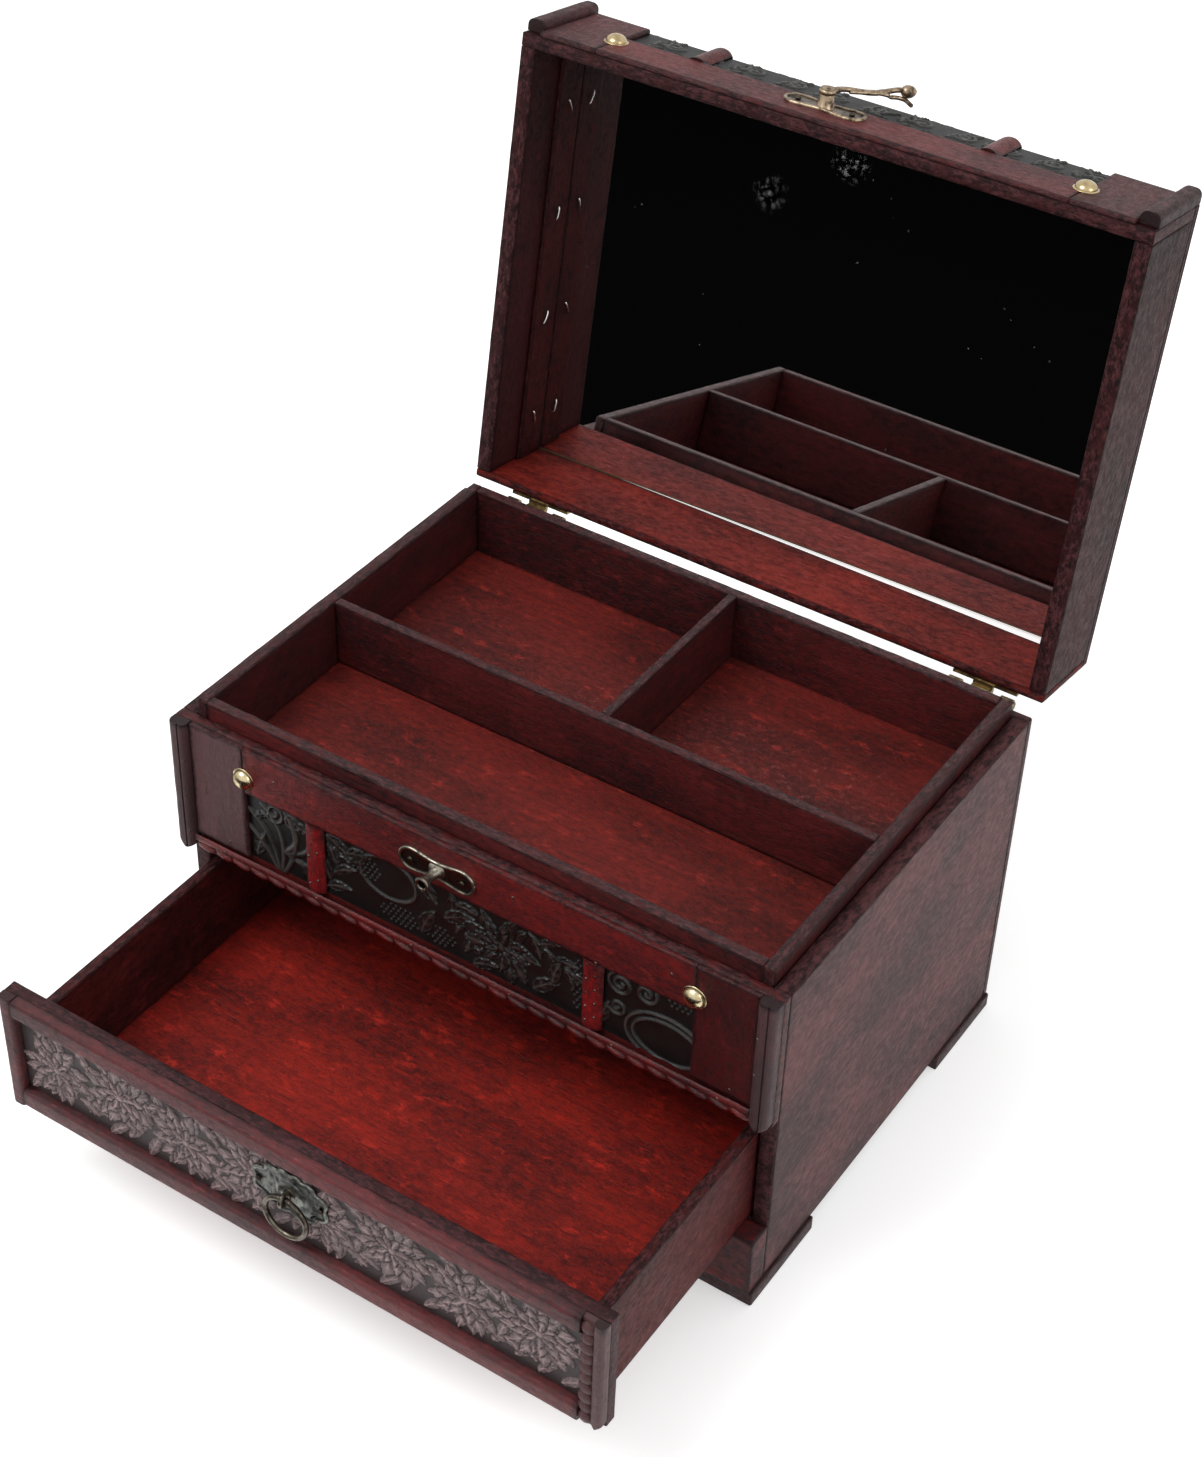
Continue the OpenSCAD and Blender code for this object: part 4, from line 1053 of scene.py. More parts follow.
class Relief:
    """A height field on a fine grid, drawn with raised strokes."""

    def __init__(self, width: float, height: float, cell: float, seed: int) -> None:
        """Sizes the grid.

        Args:
            width: Width of the panel.
            height: Height of the panel.
            cell: Grid spacing.
            seed: Start of the random draws.
        """
        self.size = (width, height)
        self.nx, self.ny = round(width / cell) + 1, round(height / cell) + 1
        self.cell = (width / (self.nx - 1), height / (self.ny - 1))
        self.field = np.zeros((self.ny, self.nx))
        self.random = np.random.default_rng(seed)

    def stamp(self, x: float, y: float, radius: float, level: float) -> None:
        """Raises a round bump."""
        cx, cy = x / self.cell[0], y / self.cell[1]
        rx, ry = radius / self.cell[0], radius / self.cell[1]
        i0, i1 = max(0, int(cx - rx)), min(self.nx, int(cx + rx) + 2)
        j0, j1 = max(0, int(cy - ry)), min(self.ny, int(cy + ry) + 2)
        if i0 >= i1 or j0 >= j1:
            return
        xs, ys = np.arange(i0, i1)[None, :], np.arange(j0, j1)[:, None]
        away = ((xs - cx) / rx) ** 2 + ((ys - cy) / ry) ** 2
        patch = level * np.clip(1 - away, 0, 1) ** 0.7
        self.field[j0:j1, i0:i1] = np.maximum(self.field[j0:j1, i0:i1], patch)

    def stroke(self, line: Points, radius: float, level: float = 1.0, taper: bool = True) -> None:
        """Raises a ridge along a line."""
        lengths = np.linalg.norm(np.diff(line, axis=0), axis=1)
        total = np.concatenate([[0], np.cumsum(lengths)])
        if total[-1] < 1e-6:
            return
        marks = np.arange(0, total[-1], max(0.25, radius * 0.4))
        for m in marks:
            x, y = (np.interp(m, total, line[:, k]) for k in (0, 1))
            width = radius * (0.45 + 0.55 * math.sin(math.pi * min(1.0, m / total[-1] * 0.9 + 0.08))) if taper else radius
            self.stamp(x, y, width, level)

    def arc(self, x: float, y: float, rx: float, ry: float, start: float, stop: float, radius: float = 0.85, tilt: float = 0.0) -> None:
        """Raises part of an ellipse, with angles in degrees."""
        a = np.radians(np.linspace(start, stop, 40))
        p = np.stack([rx * np.cos(a), ry * np.sin(a)], axis=1)
        c, s = math.cos(math.radians(tilt)), math.sin(math.radians(tilt))
        self.stroke(np.stack([x + p[:, 0] * c - p[:, 1] * s, y + p[:, 0] * s + p[:, 1] * c], axis=1), radius, taper=False)

    def leaf(self, x: float, y: float, length: float, width: float, angle: float, veins: int = 3, level: float = 0.95) -> None:
        """Lays a ribbed leaf over what is there, with its stalk at x, y and a groove round it."""
        c, s = math.cos(math.radians(angle)), math.sin(math.radians(angle))
        reach = length + width
        i0, i1 = (int(np.clip((x + d) / self.cell[0], 0, self.nx)) for d in (-reach, reach))
        j0, j1 = (int(np.clip((y + d) / self.cell[1], 0, self.ny)) for d in (-reach, reach))
        gx, gy = (np.arange(i0, i1) * self.cell[0] - x)[None, :], (np.arange(j0, j1) * self.cell[1] - y)[:, None]
        u, v = (gx * c + gy * s) / length, gy * c - gx * s
        v = v - 0.12 * width * np.sin(math.pi * u)
        half = width / 2 * np.sin(math.pi * np.clip(u, 0.01, 0.99) ** 0.75) ** 0.8 * (1 + 0.07 * np.sin(u * 23))
        side = np.abs(v) / half
        on = (u > 0) & (u < 1)
        inside = on & (side < 1)
        ribs = 0.5 + 0.5 * np.cos(2 * math.pi * (u * veins - side * 0.7))
        body = level * (0.3 + 0.2 * (1 - side ** 2) + 0.36 * ribs)
        body = np.where(side > 0.72, level * (1 - ((side - 0.86) / 0.14) ** 2), body)
        body = np.where(np.abs(v) < 0.35, level, body)
        patch = self.field[j0:j1, i0:i1]
        patch[on & ~inside & (np.abs(v) < half + 0.7)] *= 0.1
        patch[inside] = np.clip(body, 0, 1)[inside]

    def scroll(self, x: float, y: float, radius: float, turns: float, start: float, way: int = 1) -> None:
        """Raises a spiral."""
        t = np.linspace(0, 1, int(30 * turns) + 8)
        r = radius * (1 - t) ** 0.8 + 0.3
        a = math.radians(start) + way * t * turns * 2 * math.pi
        self.stroke(np.stack([x + r * np.cos(a), y + r * np.sin(a)], axis=1), 0.8, taper=False)

    def fan(self, x: float, y: float, reach: float, spread: tuple[float, float], ribs: int, curl: float) -> None:
        """Raises curved ribs that spread from a point."""
        for angle in np.linspace(*spread, ribs):
            t = np.linspace(0, 1, 26)
            a = np.radians(angle + curl * t * t)
            self.stroke(np.stack([x + reach * t * np.cos(a), y + reach * t * np.sin(a)], axis=1), 1.15, taper=False)

    def dots(self, x: float, y: float, rx: float, ry: float, pitch: float = 2.1) -> None:
        """Raises a field of small dots inside an ellipse."""
        for j in range(int(-ry / pitch) - 1, int(ry / pitch) + 2):
            for i in range(int(-rx / pitch) - 1, int(rx / pitch) + 2):
                u, v = (i + 0.5 * (j % 2)) * pitch, j * pitch * 0.87
                if (u / rx) ** 2 + (v / ry) ** 2 <= 1:
                    self.stamp(x + u, y + v, 0.62, 0.95)

    def blossom(self, x: float, y: float, radius: float, petals: int) -> None:
        """Raises a full blossom of layered petals."""
        for ring, share in ((0, 1.0), (1, 0.72), (2, 0.46)):
            count = petals - 2 * ring
            for k in range(count):
                angle = 360 / count * (k + 0.5 * ring) + self.random.uniform(-8, 8)
                base, a = radius * share * 0.25, math.radians(angle)
                self.leaf(x + base * math.cos(a), y + base * math.sin(a), radius * share * 0.78, radius * share * 0.4,
                          angle + self.random.uniform(-16, 16), 2)
        self.stamp(x, y, radius * 0.13, 1.0)

    def spray(self, x: float, y: float, length: float, angle: float, leaves: int) -> None:
        """Raises a curved stem with leaves on both sides."""
        t = np.linspace(0, 1, 20)
        bend = self.random.uniform(-0.3, 0.3) * length
        c, s = math.cos(math.radians(angle)), math.sin(math.radians(angle))
        u, v = t * length, bend * t * t
        line = np.stack([x + u * c - v * s, y + u * s + v * c], axis=1)
        self.stroke(line, 0.7)
        for k in range(leaves):
            p = line[int((k + 0.6) / leaves * 18)]
            side = 1 if k % 2 else -1
            self.leaf(p[0], p[1], length * 0.46, length * 0.19, angle + side * self.random.uniform(32, 55), 2)
        self.leaf(line[-1][0], line[-1][1], length * 0.42, length * 0.19, angle + bend * 4, 2)

    def panel(self, name: str, low: Points, high: Points, finish: Leather, lift: float, flat_axis: Axis) -> bpy.types.Object:
        """Makes the embossed panel in its box.

        Args:
            name: Name of the piece.
            low: Lowest corner of the panel, in millimetres.
            high: Highest corner.
            finish: The leather.
            lift: Height of the strokes, inside the panel's thickness.
            flat_axis: Y for a panel that looks along -Y, Z for one that looks up.

        Returns:
            The piece.
        """
        xs = np.linspace(low[0], high[0], self.nx)
        along = 2 if flat_axis is Axis.Y else 1
        ys = np.linspace(low[along], high[along], self.ny)
        gx, gy = np.meshgrid(xs, ys)
        level = self.field * lift
        top, verts = low if flat_axis is Axis.Y else high, np.zeros((self.ny, self.nx, 3))
        verts[..., 0] = gx
        verts[..., along] = gy
        if flat_axis is Axis.Y:
            verts[..., 1] = top[1] + lift - level
        else:
            verts[..., 2] = top[2] - lift + level
        verts = verts.reshape(-1, 3)
        count = len(verts)
        index = np.arange(count).reshape(self.ny, self.nx)
        quads = np.stack([index[:-1, :-1], index[:-1, 1:], index[1:, 1:], index[1:, :-1]], axis=-1).reshape(-1, 4)
        border = np.concatenate([index[0, :], index[1:, -1], index[-1, -2::-1], index[-2:0:-1, 0]])
        back = verts[border].copy()
        back[:, flat_axis.value] = high[1] if flat_axis is Axis.Y else low[2]
        ring = np.arange(count, count + len(border))
        faces = [tuple(q) for q in quads.tolist()]
        for k in range(len(border)):
            n = (k + 1) % len(border)
            faces.append((int(border[k]), int(ring[k]), int(ring[n]), int(border[n])))
        faces.append(tuple(int(v) for v in ring))
        relief = np.concatenate([self.field.reshape(-1), np.zeros(len(border))])
        return make_piece(name, np.concatenate([verts, back]), faces, Palette.get(finish), lid=finish.lid, relief=relief)


# Sub-assemblies


@dataclass
class Case:
    """The case: its boards, trim, leather, dome nails and tray."""

    bead_share: float = 0.46
    lobe_pitch: float = 8.1
    nail_radius: float = 4.7
    nail_rise: float = 3.0
    brad_radius: float = 0.55

    def shell(self) -> None:
        """Makes the boards of the case."""
        plum = Wood("plum_case", srgb("#6a3c3d"), srgb("#2a1a1c"), along=Axis.Y, haze_and_sheen_share=0.3, seed=3.0, mottle=0.5, blotch=0.75, shine=0.1, streaks=0.12)
        settle(boards("side_panels_wood", loose_boxes("side_panels"), plum, thin=7.6), Body.CASE, Slot.CASE_WOOD, "side_panels")
        settle(boards("back_panel_wood", loose_boxes("back_panel"), Wood("plum_back", PLUM, PLUM_DEEP, haze_and_sheen_share=0.3, seed=4.0)), Body.CASE, Slot.CASE_WOOD, "back_panel")
        inner = Wood("bay_red", MAROON, MAROON_DEEP, seed=5.0)
        settle(boards("bay_floor_wood", loose_boxes("bay_floor"), inner), Body.CASE, Slot.RED_WOOD, "bay_floor")
        settle(boards("bay_ceiling_wood", loose_boxes("bay_ceiling"), inner), Body.CASE, Slot.RED_WOOD, "bay_ceiling")
        settle(boards("fascia_board_wood", loose_boxes("fascia_board"), Wood("fascia_red", MAROON, MAROON_DEEP, seed=6.0)), Body.CASE, Slot.RED_WOOD, "fascia_board")
        settle(boards("plinth_board_wood", loose_boxes("plinth_board"), Wood("plinth_plum", MAROON, PLUM_DEEP, seed=7.0)), Body.CASE, Slot.CASE_WOOD, "plinth_board")
        settle(boards("feet_wood", loose_boxes("feet"), Wood("foot_dark", PLUM_DEEP, MAROON_DEEP, seed=8.0)), Body.CASE, Slot.DARK_WOOD, "feet")

    def trim(self) -> None:
        """Makes the strips, stiles and mouldings on the front."""
        red = Wood("strip_red", srgb("#781d1b"), srgb("#3a1214"), seed=9.0, rough=0.42)
        settle(boards("fascia_rim_strip_wood", loose_boxes("fascia_rim_strip"), red), Body.CASE, Slot.RED_WOOD, "fascia_rim_strip")
        left, right = loose_boxes("fascia_stiles")
        # The left stile takes the pale veil, partly painted sheen; the right stile has none.
        settle(boards("fascia_stile_left", [left], Wood("stile_plum", srgb("#5c3537"), PLUM_DEEP, along=Axis.Z, haze_and_sheen_share=0.4, seed=10.0, blotch=0.35)), Body.CASE, Slot.CASE_WOOD, "fascia_stiles")
        settle(boards("fascia_stile_right", [right], Wood("stile_red", srgb("#4e1112"), srgb("#2a0c0e"), along=Axis.Z, seed=11.0)), Body.CASE, Slot.CASE_WOOD, "fascia_stiles")
        strap = Wood("strap_red", srgb("#8c1a1c"), srgb("#360d0f"), along=Axis.Z, rough=0.32, shine=0.4, seed=12.0, edge=0.6)
        parts = []
        studs = []
        for low, high in loose_boxes("fascia_straps"):
            middle = (low[0] + high[0]) / 2
            profile = half_round_profile(high[0] - low[0], high[1] - low[1])
            parts.append(straight(profile, (middle, high[1], low[2]), (middle, high[1], high[2]), (1, 0, 0), (0, -1, 0), 3.0))
            for z in np.arange(low[2] + 3.5, high[2] - 1, 6.4 if middle > 0 else 13.0):
                studs += [(middle + shift, high[1] - profile[:, 1].max() * 0.84, z + rise) for shift, rise in ((-1.7, 0.0), (1.9, 2.8))]
        v, f, e, r = merge_meshes(parts)
        settle(make_piece("fascia_straps_wood", v, f, Palette.get(strap), edge=e, rim=r), Body.CASE, Slot.RED_WOOD, "fascia_straps")
        corner = Wood("corner_dark", srgb("#4f3032"), srgb("#22171a"), along=Axis.Z, haze_and_sheen_share=0.3, seed=13.0, shine=0.2)
        parts = []
        for low, high in loose_boxes("fascia_corner_mouldings"):
            profile = grooved_profile(high[0] - low[0], high[1] - low[1])
            middle = (low[0] + high[0]) / 2
            parts.append(straight(profile, (middle, high[1], low[2]), (middle, high[1], high[2]), (1, 0, 0), (0, -1, 0), 4.0, 0.2, 3.4))
            studs += [(middle + (2.2 if middle < 0 else -2.4), low[1] + 0.5, z) for z in np.linspace(low[2] + 9, high[2] - 16, 3)]
        v, f, e, r = merge_meshes(parts)
        settle(make_piece("fascia_corners_wood", v, f, Palette.get(corner), edge=e, rim=r), Body.CASE, Slot.DARK_WOOD, "fascia_corner_mouldings")
        self.bead(studs)

    def bead(self, studs: list[tuple[float, float, float]]) -> None:
        """Makes the carved moulding along the fascia's lower edge, then the brads of the front.

        Args:
            studs: Places of the other brads on the front.
        """
        low, high = closed_box("fascia_bead")
        split = low[2] + (high[2] - low[2]) * (1 - self.bead_share)
        depth = high[1] - low[1]
        finish = Wood("bead_red", srgb("#701a1a"), srgb("#2e0f11"), rough=0.28, shine=0.45, seed=14.0, edge=0.8)
        upper = straight(half_round_profile(high[2] - split, depth * 0.86), (low[0], high[1], (high[2] + split) / 2),
                         (high[0], high[1], (high[2] + split) / 2), (0, 0, 1), (0, -1, 0))
        lower = straight(bar_profile(split - low[2] + 0.4, depth * 0.45, 0.5), (low[0], high[1], (split + low[2]) / 2),
                         (high[0], high[1], (split + low[2]) / 2), (0, 0, 1), (0, -1, 0))
        v, f, e, r = merge_meshes([upper, lower])
        base = make_piece("bead_base", v, f, Palette.get(finish), edge=e, rim=r)
        count = int((high[0] - low[0]) / self.lobe_pitch)
        first = (low[0] + (high[0] - low[0] - (count - 1) * self.lobe_pitch) / 2, high[1] - depth * 0.42, (split + low[2]) / 2)
        lobes = LOBES.grow("bead_lobes", np.array([first]), Palette.get(finish), Count=count, Step=(self.lobe_pitch * MM, 0.0, 0.0),
                           Size=(self.lobe_pitch * 0.54 * MM, depth * 0.42 * MM, 1.55 * MM), Turn=(0.0, math.radians(16), 0.0), Seed=3)
        settle(joined("fascia_bead_carved", [base, lobes]), Body.CASE, Slot.RED_WOOD, "fascia_bead")
        for x in np.linspace(low[0] + 14, high[0] - 12, 6):
            studs.append((x, low[1] + 0.75, split + 1.6))
        strip_low, strip_high = closed_box("fascia_rim_strip")
        for x in (strip_low[0] + 14, -42.0, 22.0, strip_high[0] - 9):
            studs.append((x, strip_low[1] + 0.05, strip_high[2] - 8.5))
        for stile_low, stile_high in loose_boxes("fascia_stiles"):
            studs.append(((stile_low[0] + stile_high[0]) / 2 + 3.5, stile_low[1] + 0.05, stile_low[2] + 3.5))
        brads = STUDS.grow("fascia_brads", np.array(studs), Palette.get(BRAD), Radius=self.brad_radius * MM, Rise=0.42 * MM, Flange=1.0,
                           Sides=10, Turn=(math.pi / 2, 0.0, 0.0))
        settle(brads, Body.CASE, Slot.STEEL)

    def leather(self) -> None:
        """Makes the embossed leather in the fascia."""
        low, high = closed_box("fascia_leather")
        art = Relief(high[0] - low[0], high[2] - low[2], 0.4, 21)
        w = high[0] - low[0]
        for x, y, length, width, angle in ((3, 2, 13, 5, 70), (27, 24, 10, 5, 160), (28, 1, 10, 4, 120), (2, 20, 9, 4, 30)):
            art.leaf(x, y, length, width, angle)
        art.fan(13.5, -3.0, 32, (58, 116), 4, 26)
        art.fan(16.0, 10.0, 17, (-25, 42), 3, 40)
        art.scroll(12, 26, 4.2, 1.6, 200)
        art.scroll(20, 26, 3.6, 1.4, -20, -1)
        art.spray(34, 2, 24, 62, 5)
        art.leaf(35, 28, 13, 6, -30)
        art.leaf(44, 24, 11, 5, 12)
        art.dots(52, 21, 6.5, 5.5)
        art.dots(67, 6, 10, 4.5)
        art.arc(62, 21, 12, 9, 0, 360)
        art.dots(84, 6, 7, 4.2)
        art.leaf(76, 4, 14, 6, 64)
        art.leaf(74, 28, 12, 6, -40)
        art.spray(88, 30, 22, -58, 5)
        art.leaf(86, 16, 14, 6, 24)
        art.blossom(110, 15, 15.5, 9)
        art.spray(121, 28, 20, -30, 5)
        art.leaf(123, 3, 14, 6, 38)
        art.leaf(131, 10, 12, 5, 74)
        art.leaf(98, 1, 12, 5, 20)
        art.dots(141, 15, 2.4, 14)
        art.scroll(158, 25, 4.8, 1.8, 120)
        art.scroll(168, 26, 4.0, 1.5, 30, -1)
        art.leaf(151, 4, 11, 5, 75)
        art.scroll(157, 14, 3.4, 1.4, 200)
        art.dots(w - 6, 28, 6, 3)
        for inset in (0.0, 2.8):
            art.arc(w - 10, 8, 16.5 - inset, 11.5 - inset, 0, 360)
        panel = art.panel("fascia_leather_embossed", low, high, Leather("leather_dark", srgb("#101110"), srgb("#403b38"), 0.3, 0.55), 0.7, Axis.Y)
        settle(panel, Body.CASE, Slot.LEATHER, "fascia_leather")

    def nails(self) -> None:
        """Makes the two dome nails."""
        places = [((low[0] + high[0]) / 2, high[1], (low[2] + high[2]) / 2) for low, high in loose_boxes("fascia_dome_nails")]
        nails = STUDS.grow("fascia_nails", np.array(places), Palette.get(BRIGHT), Radius=self.nail_radius * 0.86 * MM, Rise=self.nail_rise * MM,
                           Flange=self.nail_radius / (self.nail_radius * 0.86), Sides=32, Turn=(math.pi / 2, 0.0, 0.0))
        settle(nails, Body.CASE, Slot.BRIGHT_BRASS, "fascia_dome_nails")

    def tray(self) -> None:
        """Makes the tray's walls, floor and dividers."""
        wall = Wood("tray_wall", srgb("#5c1d1d"), srgb("#260f11"), seed=15.0)
        side = Wood("tray_side", srgb("#4c1717"), srgb("#220e10"), along=Axis.Y, seed=16.0)
        floor = Wood("tray_floor_red", srgb("#73201a"), srgb("#34110f"), seed=17.0, blotch=0.55, mottle=0.5, edge=0.5, flecks=0.75)
        settle(boards("tray_side_walls_wood", loose_boxes("tray_side_walls"), side), Body.CASE, Slot.RED_WOOD, "tray_side_walls")
        settle(boards("tray_end_walls_wood", loose_boxes("tray_end_walls"), wall), Body.CASE, Slot.RED_WOOD, "tray_end_walls")
        settle(boards("tray_floor_wood", loose_boxes("tray_floor"), floor), Body.CASE, Slot.RED_WOOD, "tray_floor")
        settle(boards("tray_long_divider_wood", loose_boxes("tray_long_divider"), wall), Body.CASE, Slot.RED_WOOD, "tray_long_divider")
        settle(boards("tray_short_divider_wood", loose_boxes("tray_short_divider"), side), Body.CASE, Slot.RED_WOOD, "tray_short_divider")
        settle(boards("tray_cleats_wood", loose_boxes("tray_cleats"), Wood("cleat_plum", PLUM, PLUM_DEEP, along=Axis.Y, seed=18.0)), Body.CASE, Slot.CASE_WOOD, "tray_cleats")

    def build(self) -> None:
        """Makes the whole case."""
        self.shell()
        self.trim()
        self.leather()
        self.nails()
        self.tray()


def dog_bone(length: float, width: float, waist: float = 0.74) -> Points:
    """Draws the latch plates' outline: two round ends and a waist, anticlockwise in X and Z."""
    lobe, half = width / 2, length / 2
    points = []
    for k in range(96):
        a = 2 * math.pi * k / 96
        c, s = math.cos(a), math.sin(a)
        if abs(c) > 0.5:
            b = math.copysign((abs(c) - 0.5) * 2, c)
            x = math.copysign(half - lobe, c) + lobe * math.sin(b * math.pi / 2) * 1.0
            z = math.copysign(lobe * math.cos(b * math.pi / 2), s)
        else:
            x = (half - lobe) * c * 2
            z = math.copysign(lobe * (1 - (1 - waist) * math.cos(c * math.pi) ** 2), s)
        points.append((x, z))
    return np.array(points)


@dataclass
class Latch:
    """The brass latch: keeper on the case, plate on the lid and the swinging hook."""

    rest: float = 52.0
    post_radius: float = 2.7
    post_hole: float = 1.5
    boss_radius: float = 3.0
    rivet_radius: float = 1.5
    hook_thick: float = 1.8

    def plate(self, name: str, low: Points, high: Points, thick: float, metal: Metal) -> bpy.types.Object:
        """Makes a rimmed plate at the back of a box.

        Args:
            name: Name of the piece.
            low: Lowest corner of the plate in X, Y and Z.
            high: Highest corner.
            thick: Thickness of its rim.
            metal: Its finish.

        Returns:
            The piece.
        """
        loop = dog_bone(high[0] - low[0], high[2] - low[2])
        rings = [(0, 0, 0.2), (0, thick - 0.3, 0), (0.3, thick, 0), (1.0, thick, 0), (1.35, thick * 0.5, 1.0), (1.9, thick * 0.45, 0.7)]
        centre = ((low[0] + high[0]) / 2, high[1], (low[2] + high[2]) / 2)
        v, f, hollow = rimmed_plate(loop, rings, centre)
        return make_piece(name, v, f, Palette.get(metal), lid=metal.lid, hollow=hollow)

    def keeper(self) -> None:
        """Makes the keeper with its hollow post."""
        low, high = closed_box("keeper_plate")
        plate = self.plate("keeper_base", low, high, 1.0, ANTIQUE)
        reach, r, h = high[1] - low[1], self.post_radius, self.post_hole
        profile = [(r + 0.9, 0.3), (r + 0.2, 1.0), (r * 0.7, 2.0), (r * 0.64, reach - 3.2), (r * 0.82, reach - 1.9), (r, reach - 1.0), (r, reach - 0.3),
                   (r - 0.25, reach), (h + 0.3, reach), (h, reach - 0.4), (h, 1.6), (0.05, 1.6)]
        v, f = lathe(profile, ((low[0] + high[0]) / 2, high[1], (low[2] + high[2]) / 2), (0, -1, 0))
        # The post's bore is marked hollow, so it is painted near black: painted shade in the hole.
        hollow = np.array([1.0 if radius <= h and height < reach - 0.3 else 0.0 for radius, height in profile]).repeat(32)
        post = make_piece("keeper_post", v, f, Palette.get(ANTIQUE), hollow=hollow)
        settle(joined("keeper_cast", [plate, post]), Body.CASE, Slot.ANTIQUE_BRASS, "keeper_plate")
        places = [((a[0] + b[0]) / 2, b[1] - 0.3, (a[2] + b[2]) / 2) for a, b in loose_boxes("keeper_pins")]
        settle(STUDS.grow("keeper_pin_heads", np.array(places), Palette.get(PIN), Radius=1.1 * MM, Rise=0.6 * MM, Flange=1.0, Sides=16,
                          Turn=(math.pi / 2, 0.0, 0.0)), Body.CASE, Slot.ANTIQUE_BRASS, "keeper_pins")

    def lid_plate(self) -> None:
        """Makes the plate on the lid with its boss and rivet."""
        low, high = closed_box("latch_plate", True)
        plate = self.plate("latch_base", low, high, 1.0, ANTIQUE_LID)
        reach, r = high[1] - low[1], self.rivet_radius
        boss = reach - 0.8 - self.hook_thick - 0.18
        profile = [(self.boss_radius + 0.6, 0.3), (self.boss_radius, 1.2), (self.boss_radius - 0.4, boss - 0.3), (self.boss_radius - 0.5, boss), (r, boss),
                   (r, reach - 0.8), (r * 1.7, reach - 0.8), (r * 1.62, reach - 0.35), (r * 0.9, reach - 0.02), (0.05, reach)]
        v, f = lathe(profile, ((low[0] + high[0]) / 2, high[1], (low[2] + high[2]) / 2), (0, -1, 0))
        post = make_piece("latch_post", v, f, Palette.get(ANTIQUE_LID), lid=True, hollow=np.zeros(len(v)))
        settle(joined("latch_plate_cast", [plate, post]), Body.LID, Slot.ANTIQUE_BRASS, "latch_plate")
        places = [((a[0] + b[0]) / 2, b[1] - 0.3, (a[2] + b[2]) / 2) for a, b in loose_boxes("latch_pins", True)]
        settle(STUDS.grow("latch_pin_heads", np.array(places), Palette.get(PIN), lid=True, Radius=1.1 * MM, Rise=0.6 * MM, Flange=1.0, Sides=16,
                          Turn=(math.pi / 2, 0.0, 0.0)), Body.LID, Slot.ANTIQUE_BRASS, "latch_pins")

    def hook(self) -> None:
        """Makes the curved hook with its beak and its bulb."""
        low, high = closed_box("latch_plate", True)
        hook_low, hook_high = closed_box("latch_hook", True)
        base = hook_low[1] + self.hook_thick
        centre = ((low[0] + high[0]) / 2, base, (low[2] + high[2]) / 2)
        turn = math.radians(self.rest)
        arm = smooth_curve([(1.8, 0.3), (5, 1.0), (9, 1.3), (14, 0.2), (19, -0.4), (24, 0.3), (28, 0.8), (31.2, -0.2)], 60)
        width = 1.35 + 0.3 * np.cos(np.linspace(0, math.pi * 4, 60))
        wave = 0.35 * np.sin(np.linspace(0, math.pi * 3, 60))
        parts = [ribbon(arm, width, 0.0, self.hook_thick, centre, turn, wave)]
        bend = [(25.5 - 3.76 * math.cos(a), -3.2 + 3.76 * math.sin(a)) for a in np.linspace(-0.1, math.pi, 15)]
        beak = smooth_curve([(8.5, 0.2), (14.0, -0.5), (19.5, -0.9), *bend[2:], (29.1, -5.6), (28.9, -8.1)], 56)
        drop = -2.0 * np.clip((np.arange(56) - 4) / 20, 0, 1) ** 1.3
        parts.append(ribbon(beak, np.linspace(1.15, 0.7, 56), 0.0, 1.4, centre, turn, drop))
        cos, sin = math.cos(turn), math.sin(turn)
        egg = [(max(0.05, 2.35 * math.sin(a) * (1.0 + 0.12 * math.cos(a))), 3.0 * (1 - math.cos(a))) for a in np.linspace(0, math.pi, 15)]
        u, v = 28.0, -0.5
        parts.append(lathe(egg, (centre[0] + u * cos - v * sin, centre[1] - self.hook_thick * 0.6, centre[2] + u * sin + v * cos), (cos, 0, sin), 24))
        eye = [(self.rivet_radius + 0.08, 0.1), (self.boss_radius - 0.3, 0.0), (self.boss_radius, 0.3), (self.boss_radius, self.hook_thick - 0.3),
               (self.boss_radius - 0.4, self.hook_thick), (self.rivet_radius + 0.08, self.hook_thick)]
        parts.append(lathe(eye, centre, (0, -1, 0), 32, closed=True))
        pieces = [make_piece(f"hook_part_{k}", v, f, Palette.get(ANTIQUE_LID), lid=True, hollow=np.zeros(len(v))) for k, (v, f) in enumerate(parts)]
        settle(joined("latch_hook_curved", pieces), Body.HOOK, Slot.ANTIQUE_BRASS, "latch_hook")

    def build(self) -> None:
        """Makes the whole latch."""
        self.keeper()
        self.lid_plate()
        self.hook()


